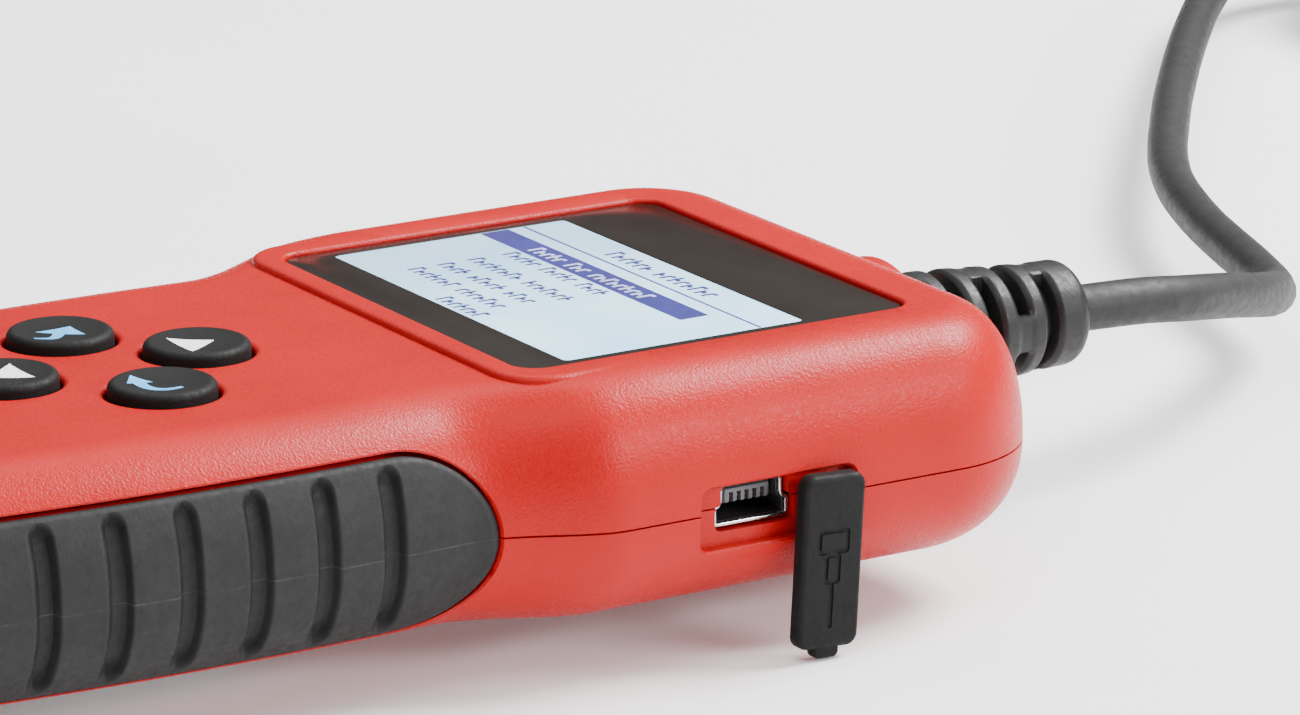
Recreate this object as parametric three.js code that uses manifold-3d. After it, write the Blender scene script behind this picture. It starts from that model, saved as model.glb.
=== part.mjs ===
// Hand-held OBD code reader with a coiled lead and a 16-way diagnostic plug.
// Millimetres, +Z up. The origin is the centre of the flat back; +Y runs to the cable,
// +X to the side with the USB port.
import * as THREE from "three";
import { mergeVertices } from "three/addons/utils/BufferGeometryUtils.js";
import Module from "manifold-3d";

const wasm = await Module();
wasm.setup();

// ---------- driving dimensions ----------
const GAP = 0.3; // running gap between neighbouring pieces
const HALF_LENGTH = 62.75;
const HEAD_HALF_WIDTH = 32.7;
const HANDLE_HALF_WIDTH = 28.9;
const HANDLE_TAPER = 1.4; // narrowing 27 mm away from the widest place of the handle
const TOP = 21.6; // handle face
const HEAD_TOP = 22.3;
const MIDDLE = 10; // height of the widest section
const PARTING = 9.9;
const WALL = 2.4;
const TOP_SHOULDER = 9; // how far the top edge is rounded inwards on the handle
const HEAD_SHOULDER = 7.4;
const RISE = [4, 22]; // where the handle's top turns into the head's
const BOTTOM_SHOULDER = 11.5;
const ROUNDING = 2.2; // exponent of the rounded edges
const HEAD_CORNER = 12.5; // plan radius at the cable end
const HANDLE_CORNER = 15;

const PLATEAU = { halfWidth: 25.3, y0: 9.5, y1: 54.5, corner: 4.5 };
const LENS = { halfWidth: 22.1, y0: 12, y1: 51.8, corner: 2.2, bottom: 20.9, top: 21.9 };
const WINDOW = { halfWidth: 21.3, y0: 16, y1: 43, corner: 1.5 };
const BOARD = { bottom: 12.8, top: 14.4 };
const BUTTONS = {
  up: [0, -8.15],
  down: [0, -26.85],
  back: [-9.55, -16.6],
  enter: [9.55, -16.6],
};
const BUTTON_RADIUS = 4.75;
const BUTTON_HOLE = 5.05;
const BUTTON_TOP = 22.6;
const BUTTON_TRAVEL = 0.8;
const KEYPAD = { bottom: 17.6, top: 18.8 };

const GRIP = {
  y0: -55.2, y1: 5.4, z0: 1.4, z1: 18.2, thickness: 1.5, proud: 0.15, endLength: 9.4, innerEdge: 20.5,
};
const GROOVE = { count: 7, first: -4.87, pitch: 6.47, width: 2.3, depth: 0.9, z0: 2.6, z1: 17.4 };

const USB = { y: 29.6, z0: 7.91, z1: 11.8, wide: 7.7, narrow: 6.5, mouth: 30.5, depth: 9, wall: 0.35 };
const RECESS = { y0: 23.4, y1: 39.1, z0: 6.4, z1: 12.2, floor: 31.1 };
const FLAP = { y: 35.7, z: 9.6, inner: 33, thickness: 1.7, width: 6.3, above: 2.6, below: 14, lean: -3.2 };
const TAB = { halfWidth: 1.3, corner: 0.5 };
const STEM = { from: 28.6, radius: 1.1, hole: 1.45, barbFrom: 28, barbTo: 29, barbRadius: 1.9 };

const CABLE = { z: 11.65, radius: 2.25 };
const RELIEF = { end: 84.4, rootRadius: 6.1, tipRadius: 5, neck: 6.1, core: 3.5, flange: 7.1 };
const SLOT = { count: 5, first: 4.6, pitch: 3.4, width: 1.2, web: 1.9 }; // first is from the end
const COLLAR = { y0: 55.9, y1: 64.5, radius: 8.2, bore: 6.5, edge: 1.2 };

const SCREWS = [[17, 47.4], [-17, 47.4], [11.5, -46.5], [-11.5, -46.5]];
const BOARD_SCREW = [17, 3.4];
const BOSS_TOP = 20.2; // where the front's screw bosses join its wall
const LABEL_PLATE = { halfWidth: 13, y0: -36, y1: -8, corner: 2 };

// The lead's way over the table, from the strain relief to where it joins the coil.
const ROUTE = [
  [0, 84.7, 11.65], [0, 93.5, 11.3], [-0.8, 98.3, 10.6], [-2.9, 103, 9.6], [-5.9, 108, 8.3],
  [-9.3, 113, 6.8], [-13, 117.6, 5.3], [-16.9, 121.6, 3.9], [-20.9, 125, 2.8], [-26, 127.9],
  [-32, 130.2], [-38.5, 132.5], [-45.5, 135.1], [-53, 138.3], [-60.6, 142], [-68, 146.4],
  [-75.5, 151.6], [-83.5, 157.7], [-91.5, 163.9], [-99.5, 170.4], [-107.5, 177], [-115.5, 183.8],
  [-123.5, 190.8], [-131, 197.7], [-137.6, 204.4], [-143, 212], [-146.4, 220.4],
];
const COIL = { x: -119.5, y: 246, inner: 22.7, outer: 27.2, lift: 0.9 };
const TIE = { angle: -55, halfWidth: 4.5, thickness: 0.7 };
const TAIL = 36; // from the coil's tangent point to the plug's relief
const PLUG_AXIS = 12; // height of the plug's middle over the table

// ---------- materials ----------
function finish(color, roughness, metalness = 0) {
  return new THREE.MeshStandardMaterial({ color, roughness, metalness });
}
const RED = finish(0xd8352b, 0.45);
const RUBBER = finish(0x2b2b2d, 0.75);
const LENS_BLACK = finish(0x1c1715, 0.15);
const DISPLAY = finish(0xbcdcf0, 0.3);
const WHITE_PLASTIC = finish(0xe6e4da, 0.55);
const BOARD_GREEN = finish(0x1d5a34, 0.5);
const CHIP = finish(0x1a1a1c, 0.6);
const STEEL = finish(0xb9bcc0, 0.3, 1);
const GOLD = finish(0xc9a24a, 0.3, 1);
const LABEL = finish(0xc9ccd0, 0.5);
const CABLE_GREY = finish(0x4a4a4c, 0.7);

// ---------- solids ----------
function solid(geometry) {
  const bare = geometry.clone();
  bare.deleteAttribute("normal");
  bare.deleteAttribute("uv");
  const merged = mergeVertices(bare, 1e-4);
  return new wasm.Manifold(new wasm.Mesh({
    numProp: 3,
    vertProperties: new Float32Array(merged.attributes.position.array),
    triVerts: new Uint32Array(merged.index.array),
  }));
}

function geometryOf(manifold) {
  const mesh = manifold.getMesh();
  const geometry = new THREE.BufferGeometry();
  geometry.setAttribute("position", new THREE.BufferAttribute(new Float32Array(mesh.vertProperties), 3));
  geometry.setIndex(new THREE.BufferAttribute(new Uint32Array(mesh.triVerts), 1));
  geometry.computeVertexNormals();
  return geometry;
}

function unite(...solids) {
  return solids.reduce((sum, next) => sum.add(next));
}

function box(x0, x1, y0, y1, z0, z1) {
  const geometry = new THREE.BoxGeometry(x1 - x0, y1 - y0, z1 - z0);
  geometry.translate((x0 + x1) / 2, (y0 + y1) / 2, (z0 + z1) / 2);
  return solid(geometry);
}

function upright(radius, x, y, z0, z1, sides = 16) {
  const geometry = new THREE.CylinderGeometry(radius, radius, z1 - z0, sides);
  geometry.rotateX(Math.PI / 2).translate(x, y, (z0 + z1) / 2);
  return solid(geometry);
}

function alongX(radius, x0, x1, y, z, sides = 12) {
  const geometry = new THREE.CylinderGeometry(radius, radius, x1 - x0, sides);
  geometry.rotateZ(Math.PI / 2).translate((x0 + x1) / 2, y, z);
  return solid(geometry);
}

// A profile of [radius, height] pairs turned about the vertical.
function turned(profile, sides = 20) {
  const points = profile.map(([radius, height]) => new THREE.Vector2(radius, height));
  const geometry = new THREE.LatheGeometry(points, sides);
  geometry.rotateX(Math.PI / 2);
  return solid(geometry);
}

// A profile of [radius, y] pairs turned about a line parallel to Y at height z.
function turnedAlongY(profile, z, sides = 20) {
  const points = profile.map(([radius, y]) => new THREE.Vector2(radius, y));
  const geometry = new THREE.LatheGeometry(points, sides);
  geometry.translate(0, 0, z);
  return solid(geometry);
}

function roundedRectangle(x0, x1, y0, y1, radius) {
  const shape = new THREE.Shape();
  shape.moveTo(x0 + radius, y0);
  shape.lineTo(x1 - radius, y0);
  shape.absarc(x1 - radius, y0 + radius, radius, -Math.PI / 2, 0);
  shape.lineTo(x1, y1 - radius);
  shape.absarc(x1 - radius, y1 - radius, radius, 0, Math.PI / 2);
  shape.lineTo(x0 + radius, y1);
  shape.absarc(x0 + radius, y1 - radius, radius, Math.PI / 2, Math.PI);
  shape.lineTo(x0, y0 + radius);
  shape.absarc(x0 + radius, y0 + radius, radius, Math.PI, Math.PI * 1.5);
  return shape;
}

function plate(shape, z0, z1, curveSegments = 3) {
  const geometry = new THREE.ExtrudeGeometry(shape, { depth: z1 - z0, bevelEnabled: false, curveSegments });
  geometry.translate(0, 0, z0);
  return solid(geometry);
}

// A shape drawn in (y, z) and extruded along X.
function sidePlate(shape, x0, x1, curveSegments = 8) {
  const geometry = new THREE.ExtrudeGeometry(shape, { depth: x1 - x0, bevelEnabled: false, curveSegments });
  const axes = new THREE.Matrix4().makeBasis(
    new THREE.Vector3(0, 1, 0), new THREE.Vector3(0, 0, 1), new THREE.Vector3(1, 0, 0));
  geometry.applyMatrix4(axes).translate(x0, 0, 0);
  return solid(geometry);
}

// A closed skin over rings of equally many points. Each ring is its own mirror image, read
// backwards, so strips between mirrored points cap the ends.
function loft(rings) {
  const count = rings[0].length;
  const positions = rings.flat().flatMap((p) => [p.x, p.y, p.z]);
  const index = [];
  for (let level = 0; level + 1 < rings.length; level++) {
    for (let i = 0; i < count; i++) {
      const a = level * count + i;
      const b = level * count + ((i + 1) % count);
      index.push(a, b, b + count, a, b + count, a + count);
    }
  }
  for (const [level, flip] of [[0, true], [rings.length - 1, false]]) {
    for (let i = 0; i + 1 < count / 2; i++) {
      const corners = [i, i + 1, count - 2 - i, count - 1 - i].map((k) => level * count + k);
      const [p, q, r, t] = flip ? corners.reverse() : corners;
      index.push(p, q, r, p, r, t);
    }
  }
  const geometry = new THREE.BufferGeometry();
  geometry.setAttribute("position", new THREE.Float32BufferAttribute(positions, 3));
  geometry.setIndex(index);
  return solid(geometry);
}

// ---------- the housing's outer form ----------
function halfWidth(y) {
  const handle = HANDLE_HALF_WIDTH - HANDLE_TAPER * ((y + 15) / 27) ** 2;
  const blend = THREE.MathUtils.smoothstep(y, 2, 16);
  return THREE.MathUtils.lerp(handle, HEAD_HALF_WIDTH, blend);
}

function alongRise(y, handle, head) {
  return THREE.MathUtils.lerp(handle, head, THREE.MathUtils.smoothstep(y, ...RISE));
}

// The right half of the plan outline from the handle end to the head end: each point's place
// and the direction that it moves in when the outline shrinks.
function rightOutline() {
  const points = [];
  const cornerSteps = 4;
  const corner = (centreY, radius, from) => {
    const centreX = halfWidth(centreY) - radius;
    for (let i = 0; i <= cornerSteps; i++) {
      const angle = from + (Math.PI / 2) * (i / cornerSteps);
      const [x, y] = [Math.cos(angle), Math.sin(angle)];
      points.push({ x: centreX + radius * x, y: centreY + radius * y, outX: x, outY: y });
    }
  };
  corner(-HALF_LENGTH + HANDLE_CORNER, HANDLE_CORNER, -Math.PI / 2);
  for (const y of [-32, -15, -2, 4, 8, 12, 16, 22]) {
    points.push({ x: halfWidth(y), y, outX: 1, outY: 0 });
  }
  corner(HALF_LENGTH - HEAD_CORNER, HEAD_CORNER, 0);
  return points;
}

// The body's form, grown outwards (or, below zero, shrunk inwards) by grow.
function bodyForm(grow) {
  const steps = [0.5, 0.75, 0.92, 1];
  const half = rightOutline();
  const ring = (step, shoulderAt, heightAt, sign) => {
    const inward = 1 - (1 - step ** ROUNDING) ** (1 / ROUNDING);
    const right = half.map(({ x, y, outX, outY }) => {
      const inset = (shoulderAt(y) + grow) * inward - grow;
      const z = MIDDLE + sign * (heightAt(y) + grow) * step;
      return new THREE.Vector3(x - inset * outX, y - inset * outY, z);
    });
    const left = right.map((p) => new THREE.Vector3(-p.x, p.y, p.z)).reverse();
    return [...right, ...left];
  };
  const topShoulder = (y) => alongRise(y, TOP_SHOULDER, HEAD_SHOULDER);
  const topHeight = (y) => alongRise(y, TOP, HEAD_TOP) - MIDDLE;
  const below = steps.map((step) => ring(step, () => BOTTOM_SHOULDER, () => MIDDLE, -1)).reverse();
  const above = steps.map((step) => ring(step, topShoulder, topHeight, 1));
  return loft([...below, ring(0, topShoulder, topHeight, 1), ...above]);
}

const OUTER = bodyForm(0);
const CAVITY = bodyForm(-WALL);

// ---------- grips ----------
function gripPrism(grow) {
  const height = (GRIP.z1 - GRIP.z0) / 2;
  const middle = (GRIP.z1 + GRIP.z0) / 2;
  const shape = new THREE.Shape();
  const end = GRIP.endLength;
  shape.moveTo(GRIP.y0 + end, middle - height - grow);
  shape.lineTo(GRIP.y1 - end, middle - height - grow);
  shape.absellipse(GRIP.y1 - end, middle, end + grow, height + grow, -Math.PI / 2, Math.PI / 2, false, 0);
  shape.lineTo(GRIP.y0 + end, middle + height + grow);
  shape.absellipse(GRIP.y0 + end, middle, end + grow, height + grow, Math.PI / 2, Math.PI * 1.5, false, 0);
  return sidePlate(shape, GRIP.innerEdge - grow, 40, 8);
}

function rightGrip() {
  const skin = bodyForm(GRIP.proud).subtract(bodyForm(-GRIP.thickness));
  let grip = skin.intersect(gripPrism(0));
  for (let i = 0; i < GROOVE.count; i++) {
    const y = GROOVE.first - i * GROOVE.pitch;
    const reach = halfWidth(y) - GROOVE.depth;
    grip = grip.subtract(box(reach, 40, y - GROOVE.width / 2, y + GROOVE.width / 2, GROOVE.z0, GROOVE.z1));
  }
  return grip;
}

const GRIP_RIGHT = rightGrip();
const GRIP_POCKET = bodyForm(2).subtract(bodyForm(-GRIP.thickness - GAP)).intersect(gripPrism(GAP));

// ---------- housings ----------
function lensPlate(extra, z0, z1) {
  const { halfWidth: w, y0, y1, corner } = LENS;
  return plate(roundedRectangle(-w - extra, w + extra, y0 - extra, y1 + extra, corner + extra), z0, z1);
}

function usbRecess() {
  const pocket = roundedRectangle(RECESS.y0, RECESS.y1, RECESS.z0, RECESS.z1, 1);
  const reach = USB.wide / 2 + GAP;
  const port = box(26, 40, USB.y - reach, USB.y + reach, USB.z0 - GAP, USB.z1 + GAP);
  const stemHole = alongX(STEM.hole, 26, 40, FLAP.y, FLAP.z);
  return unite(sidePlate(pocket, RECESS.floor, 40, 4), port, stemHole);
}

function housingBlank() {
  const { halfWidth: w, y0, y1, corner } = PLATEAU;
  const plateau = plate(roundedRectangle(-w, w, y0, y1, corner), TOP - 2, HEAD_TOP);
  const collar = turnedAlongY([
    [0, COLLAR.y0], [COLLAR.radius, COLLAR.y0], [COLLAR.radius, COLLAR.y1 - COLLAR.edge],
    [COLLAR.radius - COLLAR.edge, COLLAR.y1], [0, COLLAR.y1],
  ], CABLE.z);
  const bore = turnedAlongY([[0, COLLAR.y0 - 1], [COLLAR.bore, COLLAR.y0 - 1],
    [COLLAR.bore, COLLAR.y1 + 1], [0, COLLAR.y1 + 1]], CABLE.z);
  return unite(unite(OUTER, plateau).subtract(CAVITY), collar)
    .subtract(bore)
    .subtract(GRIP_POCKET)
    .subtract(GRIP_POCKET.mirror([1, 0, 0]))
    .subtract(usbRecess());
}

const BLANK = housingBlank();

function frontHousing() {
  let shell = BLANK.intersect(box(-50, 50, -80, 80, PARTING + GAP / 2, 40));
  for (const [x, y] of SCREWS) {
    shell = shell.add(upright(3.2, x, y, PARTING + 0.5, BOSS_TOP)).subtract(upright(1.65, x, y, 9, 16, 10));
  }
  for (const side of [-1, 1]) {
    const [x, y] = [side * BOARD_SCREW[0], BOARD_SCREW[1]];
    shell = shell.add(upright(2.6, x, y, BOARD.top + 0.2, BOSS_TOP))
      .subtract(upright(1.15, x, y, 14, 18.4, 8));
  }
  shell = shell.subtract(lensPlate(GAP, LENS.bottom - GAP, 30));
  const { halfWidth: w, y0, y1, corner } = WINDOW;
  shell = shell.subtract(plate(roundedRectangle(-w, w, y0, y1, corner), 15, 30));
  for (const [x, y] of Object.values(BUTTONS)) {
    shell = shell.subtract(upright(BUTTON_HOLE, x, y, 15, 30, 24));
  }
  return shell;
}

function labelPlate(extra, z0, z1) {
  const { halfWidth: w, y0, y1, corner } = LABEL_PLATE;
  return plate(roundedRectangle(-w - extra, w + extra, y0 - extra, y1 + extra, corner + extra), z0, z1);
}

function rearHousing() {
  let shell = BLANK.intersect(box(-50, 50, -80, 80, -5, PARTING - GAP / 2));
  for (const [x, y] of SCREWS) {
    shell = shell.add(upright(4.2, x, y, 1, PARTING - 0.4))
      .subtract(upright(2.9, x, y, -1, 3))
      .subtract(upright(1.6, x, y, 0, 12, 10));
  }
  return shell.subtract(labelPlate(GAP, -1, 0.45));
}

// ---------- inside ----------
function mainBoard() {
  const half = [[15, -53], [22.5, -45], [22.5, 4], [27.5, 13], [27.5, 48], [21.5, 53.4]];
  const shape = new THREE.Shape(
    [...half, ...half.map(([x, y]) => [-x, y]).reverse()].map(([x, y]) => new THREE.Vector2(x, y)));
  let board = plate(shape, BOARD.bottom, BOARD.top);
  for (const [x, y] of SCREWS) {
    board = board.subtract(upright(3.6, x, y, 10, 16, 12));
  }
  for (const side of [-1, 1]) {
    board = board.subtract(upright(1.3, side * BOARD_SCREW[0], BOARD_SCREW[1], 10, 16, 8));
  }
  return board;
}

function keypadWeb() {
  let web = plate(roundedRectangle(-17.5, 17.5, -34, -1, 3), KEYPAD.bottom, KEYPAD.top);
  for (const [x, y] of Object.values(BUTTONS)) {
    web = web.subtract(upright(5.6, x, y, 15, 20));
  }
  return web;
}

function button(x, y) {
  const lip = BUTTON_RADIUS + 0.55;
  const foot = BOARD.top + 0.55 + BUTTON_TRAVEL;
  return turned([
    [0, foot], [2, foot], [2.4, KEYPAD.bottom + 0.1], [lip, KEYPAD.bottom + 0.1], [lip, KEYPAD.top - 0.1],
    [BUTTON_RADIUS, KEYPAD.top - 0.1], [BUTTON_RADIUS, BUTTON_TOP - 0.5],
    [BUTTON_RADIUS - 0.2, BUTTON_TOP - 0.15], [BUTTON_RADIUS - 0.6, BUTTON_TOP],
    [2.2, BUTTON_TOP - 0.22], [0, BUTTON_TOP - 0.32],
  ]).translate([x, y, 0]);
}

function screw(head, shaft, bottom, seat, top) {
  return turned([[0, bottom], [head - 0.3, bottom], [head, bottom + 0.5], [head, seat], [shaft, seat],
    [shaft, top - 0.8], [0, top]], 10);
}

function trapezoid(wide, narrow, z0, z1, radius) {
  const shoulder = z0 + (z1 - z0) * 0.45;
  const corners = [
    [-wide / 2, z0], [wide / 2, z0], [wide / 2, shoulder], [narrow / 2, z1 - radius],
    [narrow / 2 - radius, z1], [radius - narrow / 2, z1], [-narrow / 2, z1 - radius], [-wide / 2, shoulder],
  ];
  return new THREE.Shape(corners.map(([y, z]) => new THREE.Vector2(y, z)));
}

function usbShell() {
  const { wide, narrow, z0, z1, wall, mouth, depth } = USB;
  const outer = sidePlate(trapezoid(wide, narrow, z0, z1, 0.5), mouth - depth, mouth);
  const inner = trapezoid(wide - 2 * wall, narrow - 2 * wall, z0 + wall, z1 - wall, 0.3);
  return outer.subtract(sidePlate(inner, mouth - depth - 1, mouth + 1)).translate([0, USB.y, 0]);
}

function usbTongue() {
  const { z0, z1, wall, mouth, depth } = USB;
  const back = mouth - depth;
  const block = box(back + 0.1, back + 3, -2.55, 2.55, z0 + wall + 0.15, z1 - wall - 0.15);
  const tongue = box(back + 2.5, mouth - 0.7, -2.4, 2.4, z0 + 2, z1 - wall - 0.3);
  return unite(block, tongue).translate([0, USB.y, 0]);
}

// The flap is drawn round its swivel, hanging straight down.
function usbFlap() {
  const { width, above, below, inner, thickness } = FLAP;
  const outer = inner + thickness;
  const blade = sidePlate(roundedRectangle(-width / 2, width / 2, 1 - below, above, 1.1), inner, outer, 4);
  const tabShape = roundedRectangle(-TAB.halfWidth, TAB.halfWidth, -below, 3 - below, TAB.corner);
  const tab = sidePlate(tabShape, inner + 0.2, outer - 0.2, 3);
  const stem = alongX(STEM.radius, STEM.from, inner + 0.3, 0, 0);
  const barb = alongX(STEM.barbRadius, STEM.barbFrom, STEM.barbTo, 0, 0);
  return unite(blade, tab, stem, barb);
}

function strainRelief() {
  const { end, rootRadius, tipRadius, neck, core, flange } = RELIEF;
  const inside = COLLAR.y0 - GAP;
  let relief = turnedAlongY([
    [0, inside - 1.6], [flange, inside - 1.6], [flange, inside], [neck, inside], [neck, COLLAR.y1 + GAP],
    [rootRadius, COLLAR.y1 + GAP], [tipRadius + 0.1, end - 1.1], [tipRadius - 1, end], [0, end],
  ], CABLE.z);
  const reach = COLLAR.radius + 1;
  for (let i = 0; i < SLOT.count; i++) {
    const y = end - SLOT.first - i * SLOT.pitch;
    const slab = box(-reach, reach, y - SLOT.width / 2, y + SLOT.width / 2, CABLE.z - reach, CABLE.z + reach);
    const [wide, high] = i % 2 ? [reach, SLOT.web] : [SLOT.web, reach];
    const web = box(-wide, wide, y - 1, y + 1, CABLE.z - high, CABLE.z + high);
    const middle = turnedAlongY([[0, y - 1], [core, y - 1], [core, y + 1], [0, y + 1]], CABLE.z, 12);
    relief = relief.subtract(slab.subtract(web).subtract(middle));
  }
  return relief;
}

// ---------- lead and plug ----------
function tube(points, steps, sides = 8) {
  const path = new THREE.CatmullRomCurve3(points, false, "centripetal");
  const section = new THREE.Shape();
  for (let i = 0; i < sides; i++) {
    const angle = (i / sides) * Math.PI * 2;
    const [x, y] = [CABLE.radius * Math.cos(angle), CABLE.radius * Math.sin(angle)];
    if (i) section.lineTo(x, y);
    else section.moveTo(x, y);
  }
  return solid(new THREE.ExtrudeGeometry(section, { steps, extrudePath: path, bevelEnabled: false }));
}

function leadTube() {
  const points = ROUTE.map(([x, y, z = CABLE.radius + 0.05]) => new THREE.Vector3(x, y, z));
  return tube(points, 30);
}

function coilRing() {
  const [inner, outer] = [COIL.inner - CABLE.radius - 0.1, COIL.outer + CABLE.radius + 0.1];
  const [low, high] = [COIL.lift, COIL.lift + 4 * CABLE.radius + 0.1];
  const edge = 1.6;
  const profile = [
    [inner + edge, low], [outer - edge, low], [outer, low + edge], [outer, high - edge],
    [outer - edge, high], [inner + edge, high], [inner, high - edge], [inner, low + edge],
    [inner + edge, low],
  ];
  return turned(profile, 28).translate([COIL.x, COIL.y, 0]);
}

function coilTie() {
  const [inner, outer] = [COIL.inner - CABLE.radius - 1, COIL.outer + CABLE.radius + 0.5];
  const high = COIL.lift + 4 * CABLE.radius + 0.4;
  const { thickness, halfWidth: w, angle } = TIE;
  const band = box(inner - thickness, outer + thickness, -w, w, 0.05, high + thickness)
    .subtract(box(inner, outer, -w - 1, w + 1, COIL.lift - 0.25, high));
  return band.rotate([0, 0, angle]).translate([COIL.x, COIL.y, 0]);
}

// The plug is drawn along +X from the end of its cable.
const PLUG_X = COIL.x + TAIL;
const PLUG_Y = COIL.y + COIL.outer;
const PLUG = {
  relief: 20, neck: 11, cover: 38, shroud: 16, floor: 2.4, wide: 39.5, narrow: 33.5, height: 18, wall: 1.6,
};
const PINS = { perRow: 8, pitch: 4, row: 4, width: 1.5, thickness: 0.7, length: 9.5, carrier: 2 };
const COVER_END = PLUG_X + PLUG.relief + PLUG.cover;

function leadTail() {
  const start = 17.5;
  const points = [
    [COIL.x + start, COIL.lift + 3 * CABLE.radius + 0.4],
    [COIL.x + start + 5, COIL.lift + 3.4 * CABLE.radius + 0.5],
    [COIL.x + start + 11, PLUG_AXIS - 0.6], [PLUG_X - GAP, PLUG_AXIS],
  ].map(([x, z]) => new THREE.Vector3(x, PLUG_Y, z));
  return tube(points, 6);
}

function plugRing(x, wide, narrow, height, radius) {
  const ring = [];
  const corners = [
    [wide / 2 - radius, radius - height / 2, -90], [narrow / 2 - radius, height / 2 - radius, 0],
    [radius - narrow / 2, height / 2 - radius, 90], [radius - wide / 2, radius - height / 2, 180],
  ];
  for (const [y, z, from] of corners) {
    for (let i = 0; i <= 3; i++) {
      const angle = THREE.MathUtils.degToRad(from + i * 30);
      const [across, up] = [y + radius * Math.cos(angle), z + radius * Math.sin(angle)];
      ring.push(new THREE.Vector3(x, PLUG_Y + across, PLUG_AXIS + up));
    }
  }
  return ring;
}

function plugRelief() {
  const profile = [[0, 0], [3.3, 0], [3.6, 1], [5.4, PLUG.relief - GAP], [0, PLUG.relief - GAP]];
  const geometry = new THREE.LatheGeometry(profile.map(([r, x]) => new THREE.Vector2(r, x)), 20);
  geometry.rotateZ(-Math.PI / 2).translate(PLUG_X, PLUG_Y, PLUG_AXIS);
  return solid(geometry);
}

function plugCover() {
  const start = PLUG_X + PLUG.relief;
  const full = 2 * PLUG_AXIS - 0.3;
  return loft([
    plugRing(start, 17, 15, 14, 5),
    plugRing(start + 4, 25, 21, 17, 5),
    plugRing(start + PLUG.neck, 44, 38, full - 1, 5),
    plugRing(start + PLUG.neck + 3, 46, 40, full, 5),
    plugRing(COVER_END - 1, 46, 40, full, 5),
    plugRing(COVER_END, 45, 39, full - 1, 4.5),
  ]);
}

function plugShroud() {
  const { wide, narrow, height, wall, shroud } = PLUG;
  const start = COVER_END + GAP;
  const outer = loft([start, start + shroud].map((x) => plugRing(x, wide, narrow, height, 2.2)));
  const inner = loft([start + PLUG.floor, start + shroud + 2].map((x) =>
    plugRing(x, wide - 2 * wall, narrow - 2 * wall, height - 2 * wall, 1)));
  return outer.subtract(inner);
}

function plugPins() {
  const { perRow, pitch, row, width, thickness, length, carrier } = PINS;
  const start = COVER_END + GAP + PLUG.floor + GAP;
  const face = start + carrier;
  let pins = box(start, face, PLUG_Y - 14.6, PLUG_Y + 14.6, PLUG_AXIS - 6.2, PLUG_AXIS + 6.2);
  for (const side of [-1, 1]) {
    for (let i = 0; i < perRow; i++) {
      const y = PLUG_Y + (i - (perRow - 1) / 2) * pitch;
      const z = PLUG_AXIS + side * row;
      const across = [y - width / 2, y + width / 2, z - thickness / 2, z + thickness / 2];
      pins = pins.add(box(face - 0.5, face + length, ...across));
    }
  }
  return pins;
}

// ---------- assembly ----------
const reader = new THREE.Group();
reader.name = "obd_code_reader";

function add(name, shape, material) {
  const mesh = new THREE.Mesh(geometryOf(shape), material);
  mesh.name = name;
  reader.add(mesh);
  return mesh;
}

add("front_housing", frontHousing(), RED);
add("rear_housing", rearHousing(), RED);
add("screen_lens", lensPlate(0, LENS.bottom, LENS.top), LENS_BLACK);
add("display_glass", plate(roundedRectangle(-20.9, 20.9, 16.4, 42.6, 1), 18.2, LENS.bottom - 0.2), DISPLAY);
add("display_frame", box(-23, 23, 14.4, 43.4, BOARD.top + 0.4, 18), WHITE_PLASTIC);
add("main_board", mainBoard(), BOARD_GREEN);
add("keypad_web", keypadWeb(), RUBBER);
for (const [name, [x, y]] of Object.entries(BUTTONS)) {
  add(`button_${name}`, button(x, y), RUBBER);
  add(`dome_switch_${name}`, upright(3, x, y, BOARD.top + 0.1, BOARD.top + 0.45, 14), STEEL);
}
add("controller_chip", box(-6, 6, 24, 36, BOARD.bottom - 1.6, BOARD.bottom - 0.1), CHIP);
add("memory_chip", box(-18, -13, 26, 32, BOARD.bottom - 1.7, BOARD.bottom - 0.1), CHIP);
const crystal = roundedRectangle(-5.5, 5.5, 15, 19.5, 2.2);
add("crystal_can", plate(crystal, BOARD.bottom - 3.6, BOARD.bottom - 0.1), STEEL);
add("buzzer", upright(6, 0, -36, BOARD.bottom - 5.6, BOARD.bottom - 0.1), CHIP);
add("cable_socket", box(-6.3, 6.3, 43, 49, BOARD.bottom - 6, BOARD.bottom - 0.1), WHITE_PLASTIC);
for (const [side, sign] of [["right", 1], ["left", -1]]) {
  add(`grip_${side}`, sign > 0 ? GRIP_RIGHT : GRIP_RIGHT.mirror([1, 0, 0]), RUBBER);
  const boardScrew = screw(2.2, 0.9, BOARD.bottom - 1.7, BOARD.bottom - 0.1, 18);
  add(`board_screw_${side}`, boardScrew.translate([sign * BOARD_SCREW[0], BOARD_SCREW[1], 0]), STEEL);
}
SCREWS.forEach(([x, y], i) => {
  add(`housing_screw_${i + 1}`, screw(2.6, 1.3, 1, 2.9, 15).translate([x, y, 0]), STEEL);
});
add("rear_label", labelPlate(0, 0.1, 0.35), LABEL);
add("usb_shell", usbShell(), STEEL);
add("usb_tongue", usbTongue(), CHIP);
const flap = add("usb_flap", usbFlap(), RUBBER);
flap.position.set(0, FLAP.y, FLAP.z);
flap.rotation.x = THREE.MathUtils.degToRad(FLAP.lean);
add("strain_relief", strainRelief(), RUBBER);
add("cord_tube", leadTube(), CABLE_GREY);
add("cord_coil", coilRing(), CABLE_GREY);
add("cord_tie", coilTie(), RUBBER);
add("cord_tail", leadTail(), CABLE_GREY);
add("plug_relief", plugRelief(), RUBBER);
add("plug_cover", plugCover(), RUBBER);
add("plug_shroud", plugShroud(), RUBBER);
add("plug_pins", plugPins(), GOLD);

export default reader;
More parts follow.
